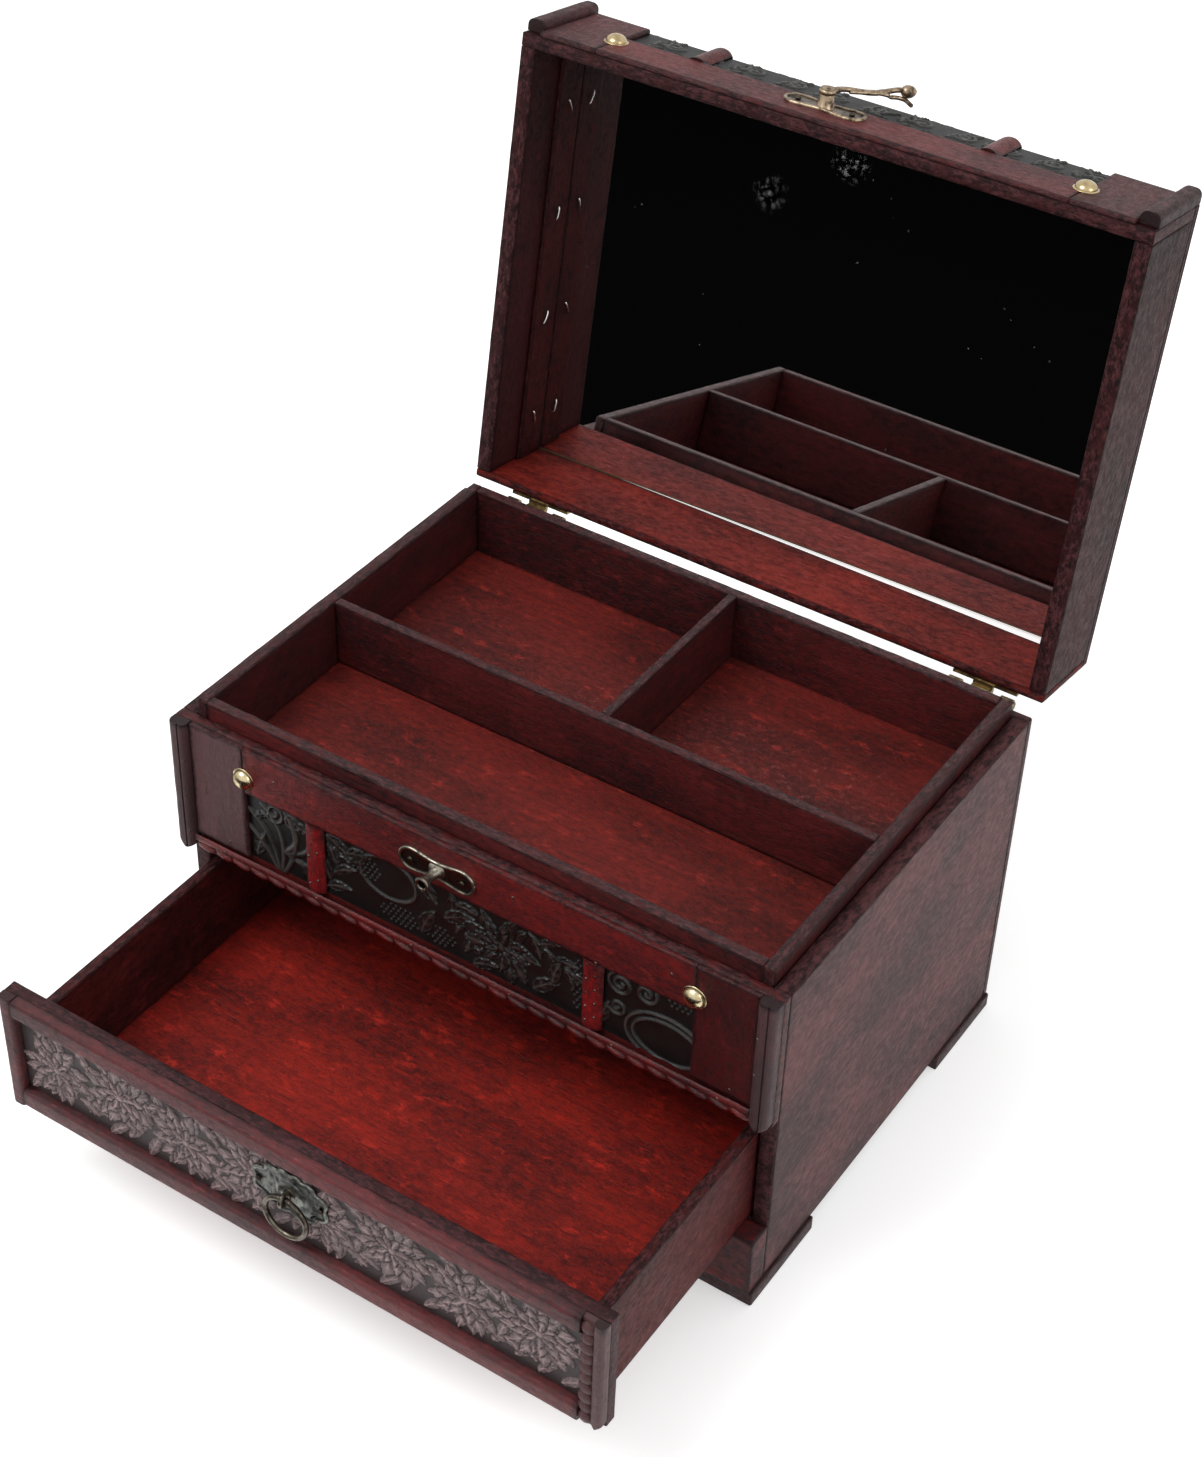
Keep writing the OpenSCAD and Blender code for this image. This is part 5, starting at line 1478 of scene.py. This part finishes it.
@dataclass
class Lid:
    """The lid: its box, mirror, slips, trim and leather."""

    frame_width: float = 16.0
    taper_edge: float = 0.35

    def shell(self) -> None:
        """Makes the lid's walls and top."""
        dark = Wood("lid_front_dark", srgb("#42191a"), srgb("#1e0c0e"), seed=20.0, shine=0.1, lid=True)
        side = Wood("lid_side_dark", srgb("#3e1718"), srgb("#1a0b0d"), along=Axis.Y, seed=21.0, shine=0.08, lid=True)
        back = Wood("lid_back_red", srgb("#84271e"), srgb("#421513"), seed=22.0, shine=0.04, lid=True)
        settle(boards("lid_front_wall_wood", loose_boxes("lid_front_wall", True), dark), Body.LID, Slot.DARK_WOOD, "lid_front_wall")
        back_wall = boards("lid_back_wall_wood", loose_boxes("lid_back_wall", True), back)
        paint_side(back_wall, (0, 1, 0), Wood("lid_back_plum", srgb("#54292b"), PLUM_DEEP, seed=29.0, haze_and_sheen_share=0.3, lid=True))
        settle(back_wall, Body.LID, Slot.DARK_WOOD, "lid_back_wall")
        settle(boards("lid_side_walls_wood", loose_boxes("lid_side_walls", True), side), Body.LID, Slot.CASE_WOOD, "lid_side_walls")
        settle(boards("lid_top_panel_wood", loose_boxes("lid_top_panel", True), side), Body.LID, Slot.CASE_WOOD, "lid_top_panel")

    def mirror(self) -> None:
        """Makes the mirror with its ground edges, the card behind it, the slips and the staples."""
        # The card glows with painted light, so its strip beside the mirror shows white in the shaded pocket.
        dress("mirror_card", Plain("white_card_painted_glow", (0.94, 0.94, 0.93), painted_glow=0.55))
        mesh = bmesh.new()
        mesh.from_mesh(frame["nodes"]["mirror_glass"].data)
        mesh.transform(LID.matrix.inverted())
        bmesh.ops.remove_doubles(mesh, verts=mesh.verts, dist=1e-6)
        points = np.unique(np.round(np.array([v.co[:] for v in mesh.verts]) / MM, 4), axis=0)
        mesh.free()
        front, back = points[:, 2].min(), points[:, 2].max()
        flat = points[points[:, 2] == front][:, :2]
        middle = flat.mean(0)
        flat = flat[np.argsort(np.arctan2(flat[:, 1] - middle[1], flat[:, 0] - middle[0]))]
        inset = middle + (flat - middle) * (1 - self.taper_edge * 2 / np.abs(flat - middle).max(0))
        verts = np.array([(*p, back) for p in flat] + [(*p, front + self.taper_edge) for p in flat] + [(*p, front) for p in inset])
        faces = [(0, 1, 2, 3), (8, 9, 10, 11)] + [(a + k, a + (k + 1) % 4, b + (k + 1) % 4, b + k) for a, b in ((0, 4), (4, 8)) for k in range(4)]
        pale_spots = MirrorGlass(pale_spots=((-1.9, -57.9, 9.0, 0.4), (-31.6, -37.7, 8.5, 0.16)))
        glass = make_piece("mirror_plate", verts, faces, Palette.get(pale_spots), lid=True, smooth=False)
        glass.data.materials.append(Palette.get(Plain("glass_edge", srgb("#6d6a4a"), 0.25)))
        for face in glass.data.polygons:
            face.material_index = 0 if face.area > 1e-3 else 1
        settle(glass, Body.LID, Slot.MIRROR, "mirror_glass")
        slip = Wood("slip_red", srgb("#48100f"), srgb("#1c090a"), along=Axis.Y, seed=23.0, shine=0.08, lid=True, edge=0.6)
        settle(boards("mirror_slips_wood", loose_boxes("mirror_slips", True), slip, thin=3.0), Body.LID, Slot.RED_WOOD, "mirror_slips")
        places = []
        for low, high in loose_boxes("slip_staples", True):
            x = (low[0] + high[0]) / 2
            places.append((x, (low[1] + high[1]) / 2, (low[2] + high[2]) / 2))
        for side in (-1, 1):
            staples = STAPLES.grow(f"slip_staples_{'left' if side < 0 else 'right'}", np.array([p for p in places if p[0] * side > 0]),
                                   Palette.get(Metal("staple_steel", srgb("#d9d9d6"), srgb("#8c8a86"), 0.3, 0.25, lid=True)), lid=True,
                                   Length=5.0 * MM, Wire=0.34 * MM, Bow=-side * 0.55 * MM, Seed=7 + side)
            settle(staples, Body.LID, Slot.STEEL, "slip_staples")

    def trim(self) -> None:
        """Makes the trim on the lid's front and top."""
        red = Wood("lid_strip_red", srgb("#6a2a2b"), srgb("#331517"), seed=24.0, lid=True)
        plum = Wood("lid_stile_plum", srgb("#5a292a"), srgb("#2c1618"), along=Axis.Z, seed=25.0, lid=True)
        settle(boards("lid_rim_strip_wood", loose_boxes("lid_rim_strip", True), red), Body.LID, Slot.RED_WOOD, "lid_rim_strip")
        settle(boards("lid_stiles_wood", loose_boxes("lid_stiles", True), plum), Body.LID, Slot.CASE_WOOD, "lid_stiles")
        parts = []
        for low, high in loose_boxes("lid_corner_mouldings", True):
            profile = bar_profile(high[0] - low[0], high[1] - low[1], (high[1] - low[1]) / 2)
            middle = (low[0] + high[0]) / 2
            parts.append(straight(profile, (middle, high[1], low[2]), (middle, high[1], high[2]), (1, 0, 0), (0, -1, 0), 4.0, 0.2))
        v, f, e, r = merge_meshes(parts)
        corner = Wood("lid_corner_dark", srgb("#4c2224"), srgb("#231214"), along=Axis.Z, seed=26.0, lid=True)
        settle(make_piece("lid_corners_wood", v, f, Palette.get(corner), lid=True, edge=e, rim=r), Body.LID, Slot.DARK_WOOD, "lid_corner_mouldings")
        low, high = closed_box("lid_top_frame", True)
        w = self.frame_width
        boxes = [(np.array([low[0], low[1], low[2]]), np.array([low[0] + w, high[1], high[2]])),
                 (np.array([high[0] - w, low[1], low[2]]), np.array([high[0], high[1], high[2]])),
                 (np.array([low[0] + w, high[1] - w, low[2]]), np.array([high[0] - w, high[1], high[2]]))]
        top = Wood("lid_frame_plum", srgb("#5e3334"), PLUM_DEEP, along=Axis.Y, seed=27.0, lid=True, haze_and_sheen_share=0.3)
        settle(boards("lid_top_frame_wood", boxes, top), Body.LID, Slot.CASE_WOOD, "lid_top_frame")
        places = [((a[0] + b[0]) / 2, b[1], (a[2] + b[2]) / 2) for a, b in loose_boxes("lid_dome_nails", True)]
        nails = STUDS.grow("lid_nails", np.array(places), Palette.get(BRIGHT_LID), lid=True, Radius=4.0 * MM, Rise=2.9 * MM, Flange=1.17, Sides=32,
                           Turn=(math.pi / 2, 0.0, 0.0))
        settle(nails, Body.LID, Slot.BRIGHT_BRASS, "lid_dome_nails")

    def straps(self) -> None:
        """Makes the two straps that climb the front and cross the top."""
        finish = Wood("lid_strap_red", srgb("#6b1f20"), srgb("#2a1011"), along=Axis.Y, seed=28.0, lid=True, rough=0.36, edge=0.8)
        leather_low, leather_high = closed_box("lid_front_leather", True)
        _, top_high = closed_box("lid_top_leather", True)
        parts, studs = [], []
        for low, high in loose_boxes("lid_straps", True):
            x, face, top = (low[0] + high[0]) / 2, leather_low[1], top_high[2]
            profile = half_round_profile(high[0] - low[0], high[2] - top)
            places, outs = [], []
            for z in np.linspace(low[2], top - 1.2, 5):
                places.append((x, face, z))
                outs.append((0, -1, 0))
            for a in np.linspace(0, math.pi / 2, 7)[1:-1]:
                places.append((x, face + 0.6 * (1 - math.cos(a)), top - 1.2 + 1.2 * math.sin(a)))
                outs.append((0, -math.cos(a), math.sin(a)))
            for y in np.linspace(face + 1.2, high[1], 26):
                places.append((x, y, top))
                outs.append((0, 0, 1))
            parts.append(swept(profile, np.array(places), np.tile((1.0, 0.0, 0.0), (len(places), 1)), np.array(outs, float), 0.1))
            studs += [(x + s * 1.9, y, top + 1.75) for y in np.arange(face + 8, high[1] - 4, 12) for s in (-1, 1)]
        v, f, e, r = merge_meshes(parts)
        settle(make_piece("lid_straps_wood", v, f, Palette.get(finish), lid=True, edge=e, rim=r), Body.LID, Slot.RED_WOOD, "lid_straps")
        brads = STUDS.grow("lid_brads", np.array(studs), Palette.get(BRAD_LID), lid=True, Radius=0.6 * MM, Rise=0.45 * MM, Flange=1.0, Sides=10, Turn=(0.0, 0.0, 0.0))
        settle(brads, Body.LID, Slot.STEEL)

    def leather(self) -> None:
        """Makes the embossed leather on the lid's front and top."""
        finish = Leather("leather_lid", srgb("#1f201e"), srgb("#3d3a37"), lid=True)
        low, high = closed_box("lid_front_leather", True)
        art = Relief(high[0] - low[0], high[2] - low[2], 0.5, 22)
        for k, x in enumerate(np.arange(6, high[0] - low[0], 17)):
            art.spray(x, 2, 14, 40 if k % 2 else 62, 4)
            art.scroll(x + 9, 11, 3.6, 1.5, 90 * k, 1 if k % 2 else -1)
            art.dots(x + 13, 4, 3, 2.2)
        settle(art.panel("lid_front_leather_embossed", low, high, finish, 0.6, Axis.Y), Body.LID, Slot.LEATHER, "lid_front_leather")
        low, high = closed_box("lid_top_leather", True)
        art = Relief(high[0] - low[0], high[1] - low[1], 0.75, 23)
        width, height = art.size
        for row, y in enumerate(np.arange(14, height, 28)):
            for col, x in enumerate(np.arange(12 + 15 * (row % 2), width, 31)):
                kind = (row + 2 * col) % 4
                if kind == 0:
                    art.blossom(x, y, 16, 10)
                elif kind == 1:
                    art.spray(x - 12, y - 12, 26, 45, 6)
                    art.scroll(x + 9, y - 8, 6, 1.7, 90)
                elif kind == 2:
                    for inset in (0, 3):
                        art.arc(x, y, 13 - inset, 11 - inset, 0, 360)
                else:
                    art.spray(x + 12, y - 12, 26, 130, 6)
                    art.scroll(x - 9, y + 8, 6, 1.7, 270, -1)
                art.dots(x + 16, y + 13, 4.5, 4, 2.3)
        settle(art.panel("lid_top_leather_embossed", low, high, finish, 0.6, Axis.Z), Body.LID, Slot.LEATHER, "lid_top_leather")

    def build(self) -> None:
        """Makes the whole lid."""
        self.shell()
        self.mirror()
        self.trim()
        self.straps()
        self.leather()


@dataclass
class Hinges:
    """The two butt hinges at the back."""

    screw_radius: float = 1.9
    screw_rise: float = 0.9

    def build(self) -> None:
        """Dresses the leaves and pins and makes the slotted screws."""
        dress("hinge_case_leaves", HINGE)
        dress("hinge_pins", HINGE)
        dress("hinge_lid_leaves", HINGE_LID)
        for node, body, metal in (("hinge_case_screws", Body.CASE, HINGE), ("hinge_lid_screws", Body.LID, HINGE_LID)):
            boxes = loose_boxes(node, metal.lid)
            places = [((a[0] + b[0]) / 2, a[1], (a[2] + b[2]) / 2) for a, b in boxes]
            screws = SCREWS.grow(node + "_slotted", np.array(places), Palette.get(metal), lid=metal.lid, Radius=self.screw_radius * MM,
                                 Rise=self.screw_rise * MM, Turn=(-math.pi / 2, 0.0, 0.0), Seed=5)
            settle(screws, body, Slot.ANTIQUE_BRASS, node)


@dataclass
class Drawer:
    """The drawer: its box, framed front, leather and ring pull."""

    notch_pitch: float = 4.9
    washer_radius: float = 2.4
    eye_wire: float = 0.8
    plate_size: tuple[float, float] = (17.0, 10.6)

    def box(self) -> None:
        """Makes the drawer's boards."""
        floor = Wood("drawer_floor_red", srgb("#9c241a"), srgb("#401211"), seed=30.0, blotch=0.5, mottle=0.5, edge=0.4, flecks=0.7)
        wall = Wood("drawer_wall", srgb("#5a1f1e"), srgb("#291011"), along=Axis.Y, seed=31.0, shine=0.1)
        back = Wood("drawer_back", srgb("#5e2221"), srgb("#2c1213"), seed=32.0)
        front = Wood("drawer_front", srgb("#4c2526"), srgb("#251719"), seed=33.0, rim=srgb("#251a1c"), shine=0.12)
        settle(boards("drawer_floor_wood", loose_boxes("drawer_floor"), floor), Body.DRAWER, Slot.RED_WOOD, "drawer_floor")
        settle(boards("drawer_side_walls_wood", loose_boxes("drawer_side_walls"), wall), Body.DRAWER, Slot.RED_WOOD, "drawer_side_walls")
        settle(boards("drawer_back_wall_wood", loose_boxes("drawer_back_wall"), back), Body.DRAWER, Slot.RED_WOOD, "drawer_back_wall")
        settle(boards("drawer_front_board_wood", loose_boxes("drawer_front_board"), front), Body.DRAWER, Slot.DARK_WOOD, "drawer_front_board")

    def mouldings(self) -> None:
        """Makes the rails, the narrow left moulding and the carved right one."""
        rail = Wood("rail_plum", srgb("#692426"), srgb("#2f1518"), seed=34.0, haze_and_sheen_share=0.15, rough=0.4, shine=0.25, edge=0.8)
        parts = []
        for low, high in loose_boxes("drawer_rail_mouldings"):
            depth, middle = high[1] - low[1], (low[2] + high[2]) / 2
            profile = bar_profile(high[2] - low[2], depth, depth * 0.45, 6)
            parts.append(straight(profile, (low[0], high[1], middle), (high[0], high[1], middle), (0, 0, 1), (0, -1, 0)))
        v, f, e, r = merge_meshes(parts)
        settle(make_piece("drawer_rails_wood", v, f, Palette.get(rail), edge=e, rim=r), Body.DRAWER, Slot.CASE_WOOD, "drawer_rail_mouldings")
        low, high = closed_box("drawer_left_moulding")
        depth, middle = high[1] - low[1], (low[0] + high[0]) / 2
        v, f, e, r = straight(bar_profile(high[0] - low[0], depth, depth * 0.45, 6), (middle, high[1], low[2]), (middle, high[1], high[2]), (1, 0, 0), (0, -1, 0))
        settle(make_piece("drawer_left_moulding_wood", v, f, Palette.get(rail), edge=e, rim=r), Body.DRAWER, Slot.CASE_WOOD, "drawer_left_moulding")
        low, high = closed_box("drawer_right_moulding")
        finish = Wood("carved_dark", srgb("#52302f"), srgb("#26171a"), along=Axis.Z, seed=35.0, haze_and_sheen_share=0.25, rough=0.4, shine=0.25, edge=0.8)
        split, depth = (low[0] + high[0]) / 2, high[1] - low[1]
        width = high[0] - low[0]
        foot = [(width / 2 * math.cos(a), width / 2 * math.sin(a)) for a in np.linspace(math.pi, 2 * math.pi, 25)]
        top = high[2] - low[2] - width / 2
        sides = [(width / 2, z) for z in np.linspace(4, top - 0.6, 14)] + [(-width / 2, z) for z in np.linspace(top - 0.6, 4, 14)]
        rings = [(0, 0, 0), (0, depth * 0.4, 0), (0.3, depth * 0.52, 0), (0.9, depth * 0.56, 0)]
        v, f, _ = rimmed_plate(np.array(foot + sides), rings, (split, high[1], low[2] + width / 2))
        plate = make_piece("right_plate", v, f, Palette.get(finish), edge=np.zeros(len(v)), rim=np.zeros(len(v)))
        profile = bar_profile(width / 2, depth, depth * 0.5, 6)
        middle = split + width / 4
        v, f, e, r = straight(profile, (middle, high[1], low[2] + 1.4), (middle, high[1], high[2] - 0.2), (1, 0, 0), (0, -1, 0), tongue=2.2)
        bar = make_piece("right_bar", v, f, Palette.get(finish), edge=e, rim=r)
        count = int((high[2] - low[2]) / self.notch_pitch)
        first = (split - width / 4, high[1] - depth * 0.5, low[2] + self.notch_pitch * 0.7)
        lobes = LOBES.grow("right_lobes", np.array([first]), Palette.get(finish), Count=count, Step=(0.0, 0.0, self.notch_pitch * MM),
                           Size=(3.1 * MM, depth * 0.46 * MM, self.notch_pitch * 0.56 * MM), Turn=(0.0, math.radians(32), 0.0), Seed=4)
        settle(joined("drawer_right_moulding_carved", [plate, bar, lobes]), Body.DRAWER, Slot.DARK_WOOD, "drawer_right_moulding")

    def leather(self) -> None:
        """Makes the embossed leather on the drawer's front."""
        low, high = closed_box("drawer_leather")
        art = Relief(high[0] - low[0], high[2] - low[2], 0.4, 24)
        width, height = art.size
        for x in np.arange(2, width, 9.0):
            art.leaf(x, art.random.uniform(-1, 5), 14, 4.2, art.random.uniform(25, 80), 4)
            art.leaf(x + 4, height + art.random.uniform(-5, 1), 14, 4.2, art.random.uniform(-80, -25), 4)
        for k, x in enumerate(np.arange(15, width, 29)):
            art.spray(x + 10, 8 + 18 * (k % 2), 19, 20 - 50 * (k % 2), 7)
            art.blossom(x, 16 + 4 * (k % 2), 15.0, 13)
        for x in (30, 88, 146, 204):
            art.dots(x, 6 if x % 4 else 30, 4.0, 2.6)
        panel = art.panel("drawer_leather_embossed", low, high, Leather("leather_grey", srgb("#625253"), srgb("#98807f"), 0.36, 0.4), 0.7, Axis.Y)
        settle(panel, Body.DRAWER, Slot.LEATHER, "drawer_leather")

    def pull(self) -> None:
        """Makes the scalloped plate, its pins, the eye and the ring."""
        low, high = closed_box("pull_plate")
        centre = ((low[0] + high[0]) / 2, high[1], (low[2] + high[2]) / 2)
        loop = []
        for k in range(144):
            a = 2 * math.pi * k / 144
            base = 1 / math.hypot(math.cos(a) / self.plate_size[0], math.sin(a) / self.plate_size[1])
            scallop = 1 - 0.12 * abs(math.cos(6 * a)) ** 3 - 0.10 * math.cos(2 * a) ** 8 * abs(math.sin(a) * math.cos(a)) * 2
            loop.append((base * scallop * math.cos(a), base * scallop * math.sin(a)))
        thick = high[1] - low[1]
        rings = [(0, 0, 0.2), (0, thick * 0.55, 0.1), (0.35, thick * 0.9, 0.0), (1.0, thick * 0.9, 0.1), (1.5, thick * 0.55, 0.9), (2.4, thick * 0.6, 0.4)]
        v, f, hollow = rimmed_plate(np.array(loop), rings, centre)
        plate = make_piece("pull_plate_base", v, f, Palette.get(PEWTER), hollow=hollow)
        dome = [(6.4, 0.3), (6.0, thick * 0.8), (4.6, thick * 0.98), (3.0, thick), (0.05, thick)]
        v, f = lathe(dome, centre, (0, -1, 0), 40)
        settle(joined("pull_plate_cast", [plate, make_piece("pull_boss", v, f, Palette.get(PEWTER), hollow=np.zeros(len(v)))]), Body.DRAWER, Slot.ANTIQUE_BRASS, "pull_plate")
        pins = [((a[0] + b[0]) / 2, b[1] - 0.15, (a[2] + b[2]) / 2) for a, b in loose_boxes("pull_pins")]
        settle(STUDS.grow("pull_pin_heads", np.array(pins), Palette.get(PIN), Radius=1.2 * MM, Rise=0.5 * MM, Flange=1.0, Sides=16,
                          Turn=(math.pi / 2, 0.0, 0.0)), Body.DRAWER, Slot.ANTIQUE_BRASS, "pull_pins")
        eye_low, eye_high = closed_box("pull_eye")
        ring_low, ring_high = closed_box("pull_ring")
        wire = (ring_high[1] - ring_low[1]) / 2
        axis = (0.0, (ring_low[1] + ring_high[1]) / 2, ring_high[2] - wire)
        outer = axis[1] - eye_low[1]
        middle = outer - self.eye_wire
        loop_profile = [(middle + self.eye_wire * math.cos(a), self.eye_wire * math.sin(a)) for a in np.linspace(0, 2 * math.pi, 12, endpoint=False)]
        v, f = lathe(loop_profile, axis, (1, 0, 0), 32, closed=True)
        eye = make_piece("eye_loop", v, f, Palette.get(RING_BRASS), hollow=np.zeros(len(v)))
        v, f = lathe([(self.washer_radius, 0), (self.washer_radius, 0.3), (self.washer_radius - 0.4, 0.5), (0.05, 0.5)], (0, low[1], axis[2]), (0, -1, 0), 24)
        washer = make_piece("eye_washer", v, f, Palette.get(RING_BRASS), hollow=np.zeros(len(v)))
        settle(joined("pull_eye_loop", [eye, washer]), Body.DRAWER, Slot.ANTIQUE_BRASS, "pull_eye")
        radius = (ring_high[2] - ring_low[2]) / 2 - wire
        section = [(radius + wire * math.cos(a), wire * math.sin(a)) for a in np.linspace(0, 2 * math.pi, 14, endpoint=False)]
        v, f = lathe(section, (0, axis[1], axis[2] - radius), (0, -1, 0), 72, closed=True)
        settle(make_piece("pull_ring_wire", v, f, Palette.get(RING_BRASS), hollow=np.zeros(len(v))), Body.RING, Slot.ANTIQUE_BRASS, "pull_ring")

    def build(self) -> None:
        """Makes the whole drawer."""
        self.box()
        self.mouldings()
        self.leather()
        self.pull()


@dataclass
class Studio:
    """The pale floor, the lamps and the camera."""

    place: tuple[float, float, float] = (0.389188, -0.608631, 0.738555)
    azimuth: float = 32.18
    elevation: float = 39.31
    roll: float = 2.1
    lens: float = 65.58
    sky: float = 0.75

    def camera(self) -> None:
        """Puts the camera where the photograph was taken from."""
        a, e, r = (math.radians(v) for v in (self.azimuth, self.elevation, self.roll))
        back = Vector((math.sin(a) * math.cos(e), -math.cos(a) * math.cos(e), math.sin(e)))
        right = Vector((math.cos(a), math.sin(a), 0))
        up = back.cross(right)
        across = right * math.cos(r) + up * math.sin(r)
        over = up * math.cos(r) - right * math.sin(r)
        data = bpy.data.cameras.new("camera")
        data.lens, data.sensor_width, data.clip_start, data.clip_end = self.lens, 36.0, 0.05, 20.0
        camera = bpy.data.objects.new("camera", data)
        camera.matrix_world = Matrix.Translation(self.place) @ Matrix((across, over, back)).transposed().to_4x4()
        bpy.context.scene.collection.objects.link(camera)
        bpy.context.scene.camera = camera

    def lamp(self, name: str, place: tuple[float, float, float], size: float, watts: float) -> None:
        """Hangs a soft square lamp that looks at the box."""
        data = bpy.data.lights.new(name, "AREA")
        data.shape, data.size, data.energy = "SQUARE", size, watts
        lamp = bpy.data.objects.new(name, data)
        lamp.location = place
        lamp.rotation_mode = "QUATERNION"
        lamp.rotation_quaternion = (Vector((0, 0, 0.12)) - Vector(place)).to_track_quat("-Z", "Y")
        bpy.context.scene.collection.objects.link(lamp)

    def stage(self) -> None:
        """Makes the floor and the black flag that only the mirror sees."""
        grid = bpy.data.meshes.new("floor")
        grid.from_pydata([(-6, -6, 0), (6, -6, 0), (6, 6, 0), (-6, 6, 0)], [], [(0, 1, 2, 3)])
        material = bpy.data.materials.new("floor_pale")
        material.use_nodes = True
        g = Graph(material.node_tree)
        shader = g.tree.nodes["Principled BSDF"]
        shader.inputs["Base Color"].default_value = (0.86, 0.86, 0.86, 1)
        shader.inputs["Roughness"].default_value = 0.9
        shader.inputs["Specular IOR Level"].default_value = 0.0
        path = g.add("LightPath")
        seen = g.math("MAXIMUM", path.outputs["Is Camera Ray"], g.math("MAXIMUM", path.outputs["Is Glossy Ray"], path.outputs["Is Transmission Ray"]))
        shader.inputs["Emission Color"].default_value = (1, 1, 1, 1)
        g.feed(shader.inputs["Emission Strength"], g.math("MULTIPLY", seen, 0.42))
        grid.materials.append(material)
        floor = bpy.data.objects.new("floor", grid)
        bpy.context.scene.collection.objects.link(floor)
        black = bpy.data.meshes.new("flag")
        black.from_pydata([(-2.6, -3.2, 0.004), (1.4, -3.2, 0.004), (1.4, -0.24, 0.004), (-2.6, -0.24, 0.004)], [], [(0, 1, 2, 3)])
        cloth = bpy.data.materials.new("flag_black")
        cloth.use_nodes = True
        cloth.node_tree.nodes["Principled BSDF"].inputs["Base Color"].default_value = (0.0015, 0.0015, 0.0015, 1)
        cloth.node_tree.nodes["Principled BSDF"].inputs["Specular IOR Level"].default_value = 0.0
        black.materials.append(cloth)
        flag = bpy.data.objects.new("flag", black)
        flag.visible_camera = flag.visible_diffuse = flag.visible_shadow = flag.visible_transmission = False
        bpy.context.scene.collection.objects.link(flag)

    def sky_light(self) -> None:
        """Makes a soft white surround that looks white and lights the box plainly."""
        world = bpy.data.worlds.new("studio")
        world.use_nodes = True
        g = Graph(world.node_tree)
        back = g.tree.nodes["Background"]
        back.inputs["Color"].default_value = (1, 1, 1, 1)
        path = g.add("LightPath")
        seen = g.math("MAXIMUM", path.outputs["Is Camera Ray"], g.math("MAXIMUM", path.outputs["Is Glossy Ray"], path.outputs["Is Transmission Ray"]))
        g.feed(back.inputs["Strength"], g.math("MULTIPLY_ADD", seen, 1.0 - self.sky))
        back.inputs["Strength"].links[0].from_node.inputs[2].default_value = self.sky
        bpy.context.scene.world = world

    def build(self) -> None:
        """Makes the stage, the lamps and the camera."""
        bpy.context.scene.view_settings.view_transform = "Standard"
        self.camera()
        self.stage()
        self.sky_light()
        self.lamp("key", (-0.55, -0.75, 1.5), 0.9, 14.0)
        self.lamp("side", (1.3, -0.1, 0.9), 0.8, 4.0)


STUDS = stud_tree()
LOBES = lobe_tree()
STAPLES = staple_tree()
SCREWS = screw_tree()


def main() -> None:
    """Builds the studio and every sub-assembly."""
    logging.basicConfig(level=logging.INFO, format="%(name)s: %(message)s")
    Studio().build()
    Case().build()
    Lid().build()
    Latch().build()
    Hinges().build()
    Drawer().build()


if __name__ == "__main__":
    main()
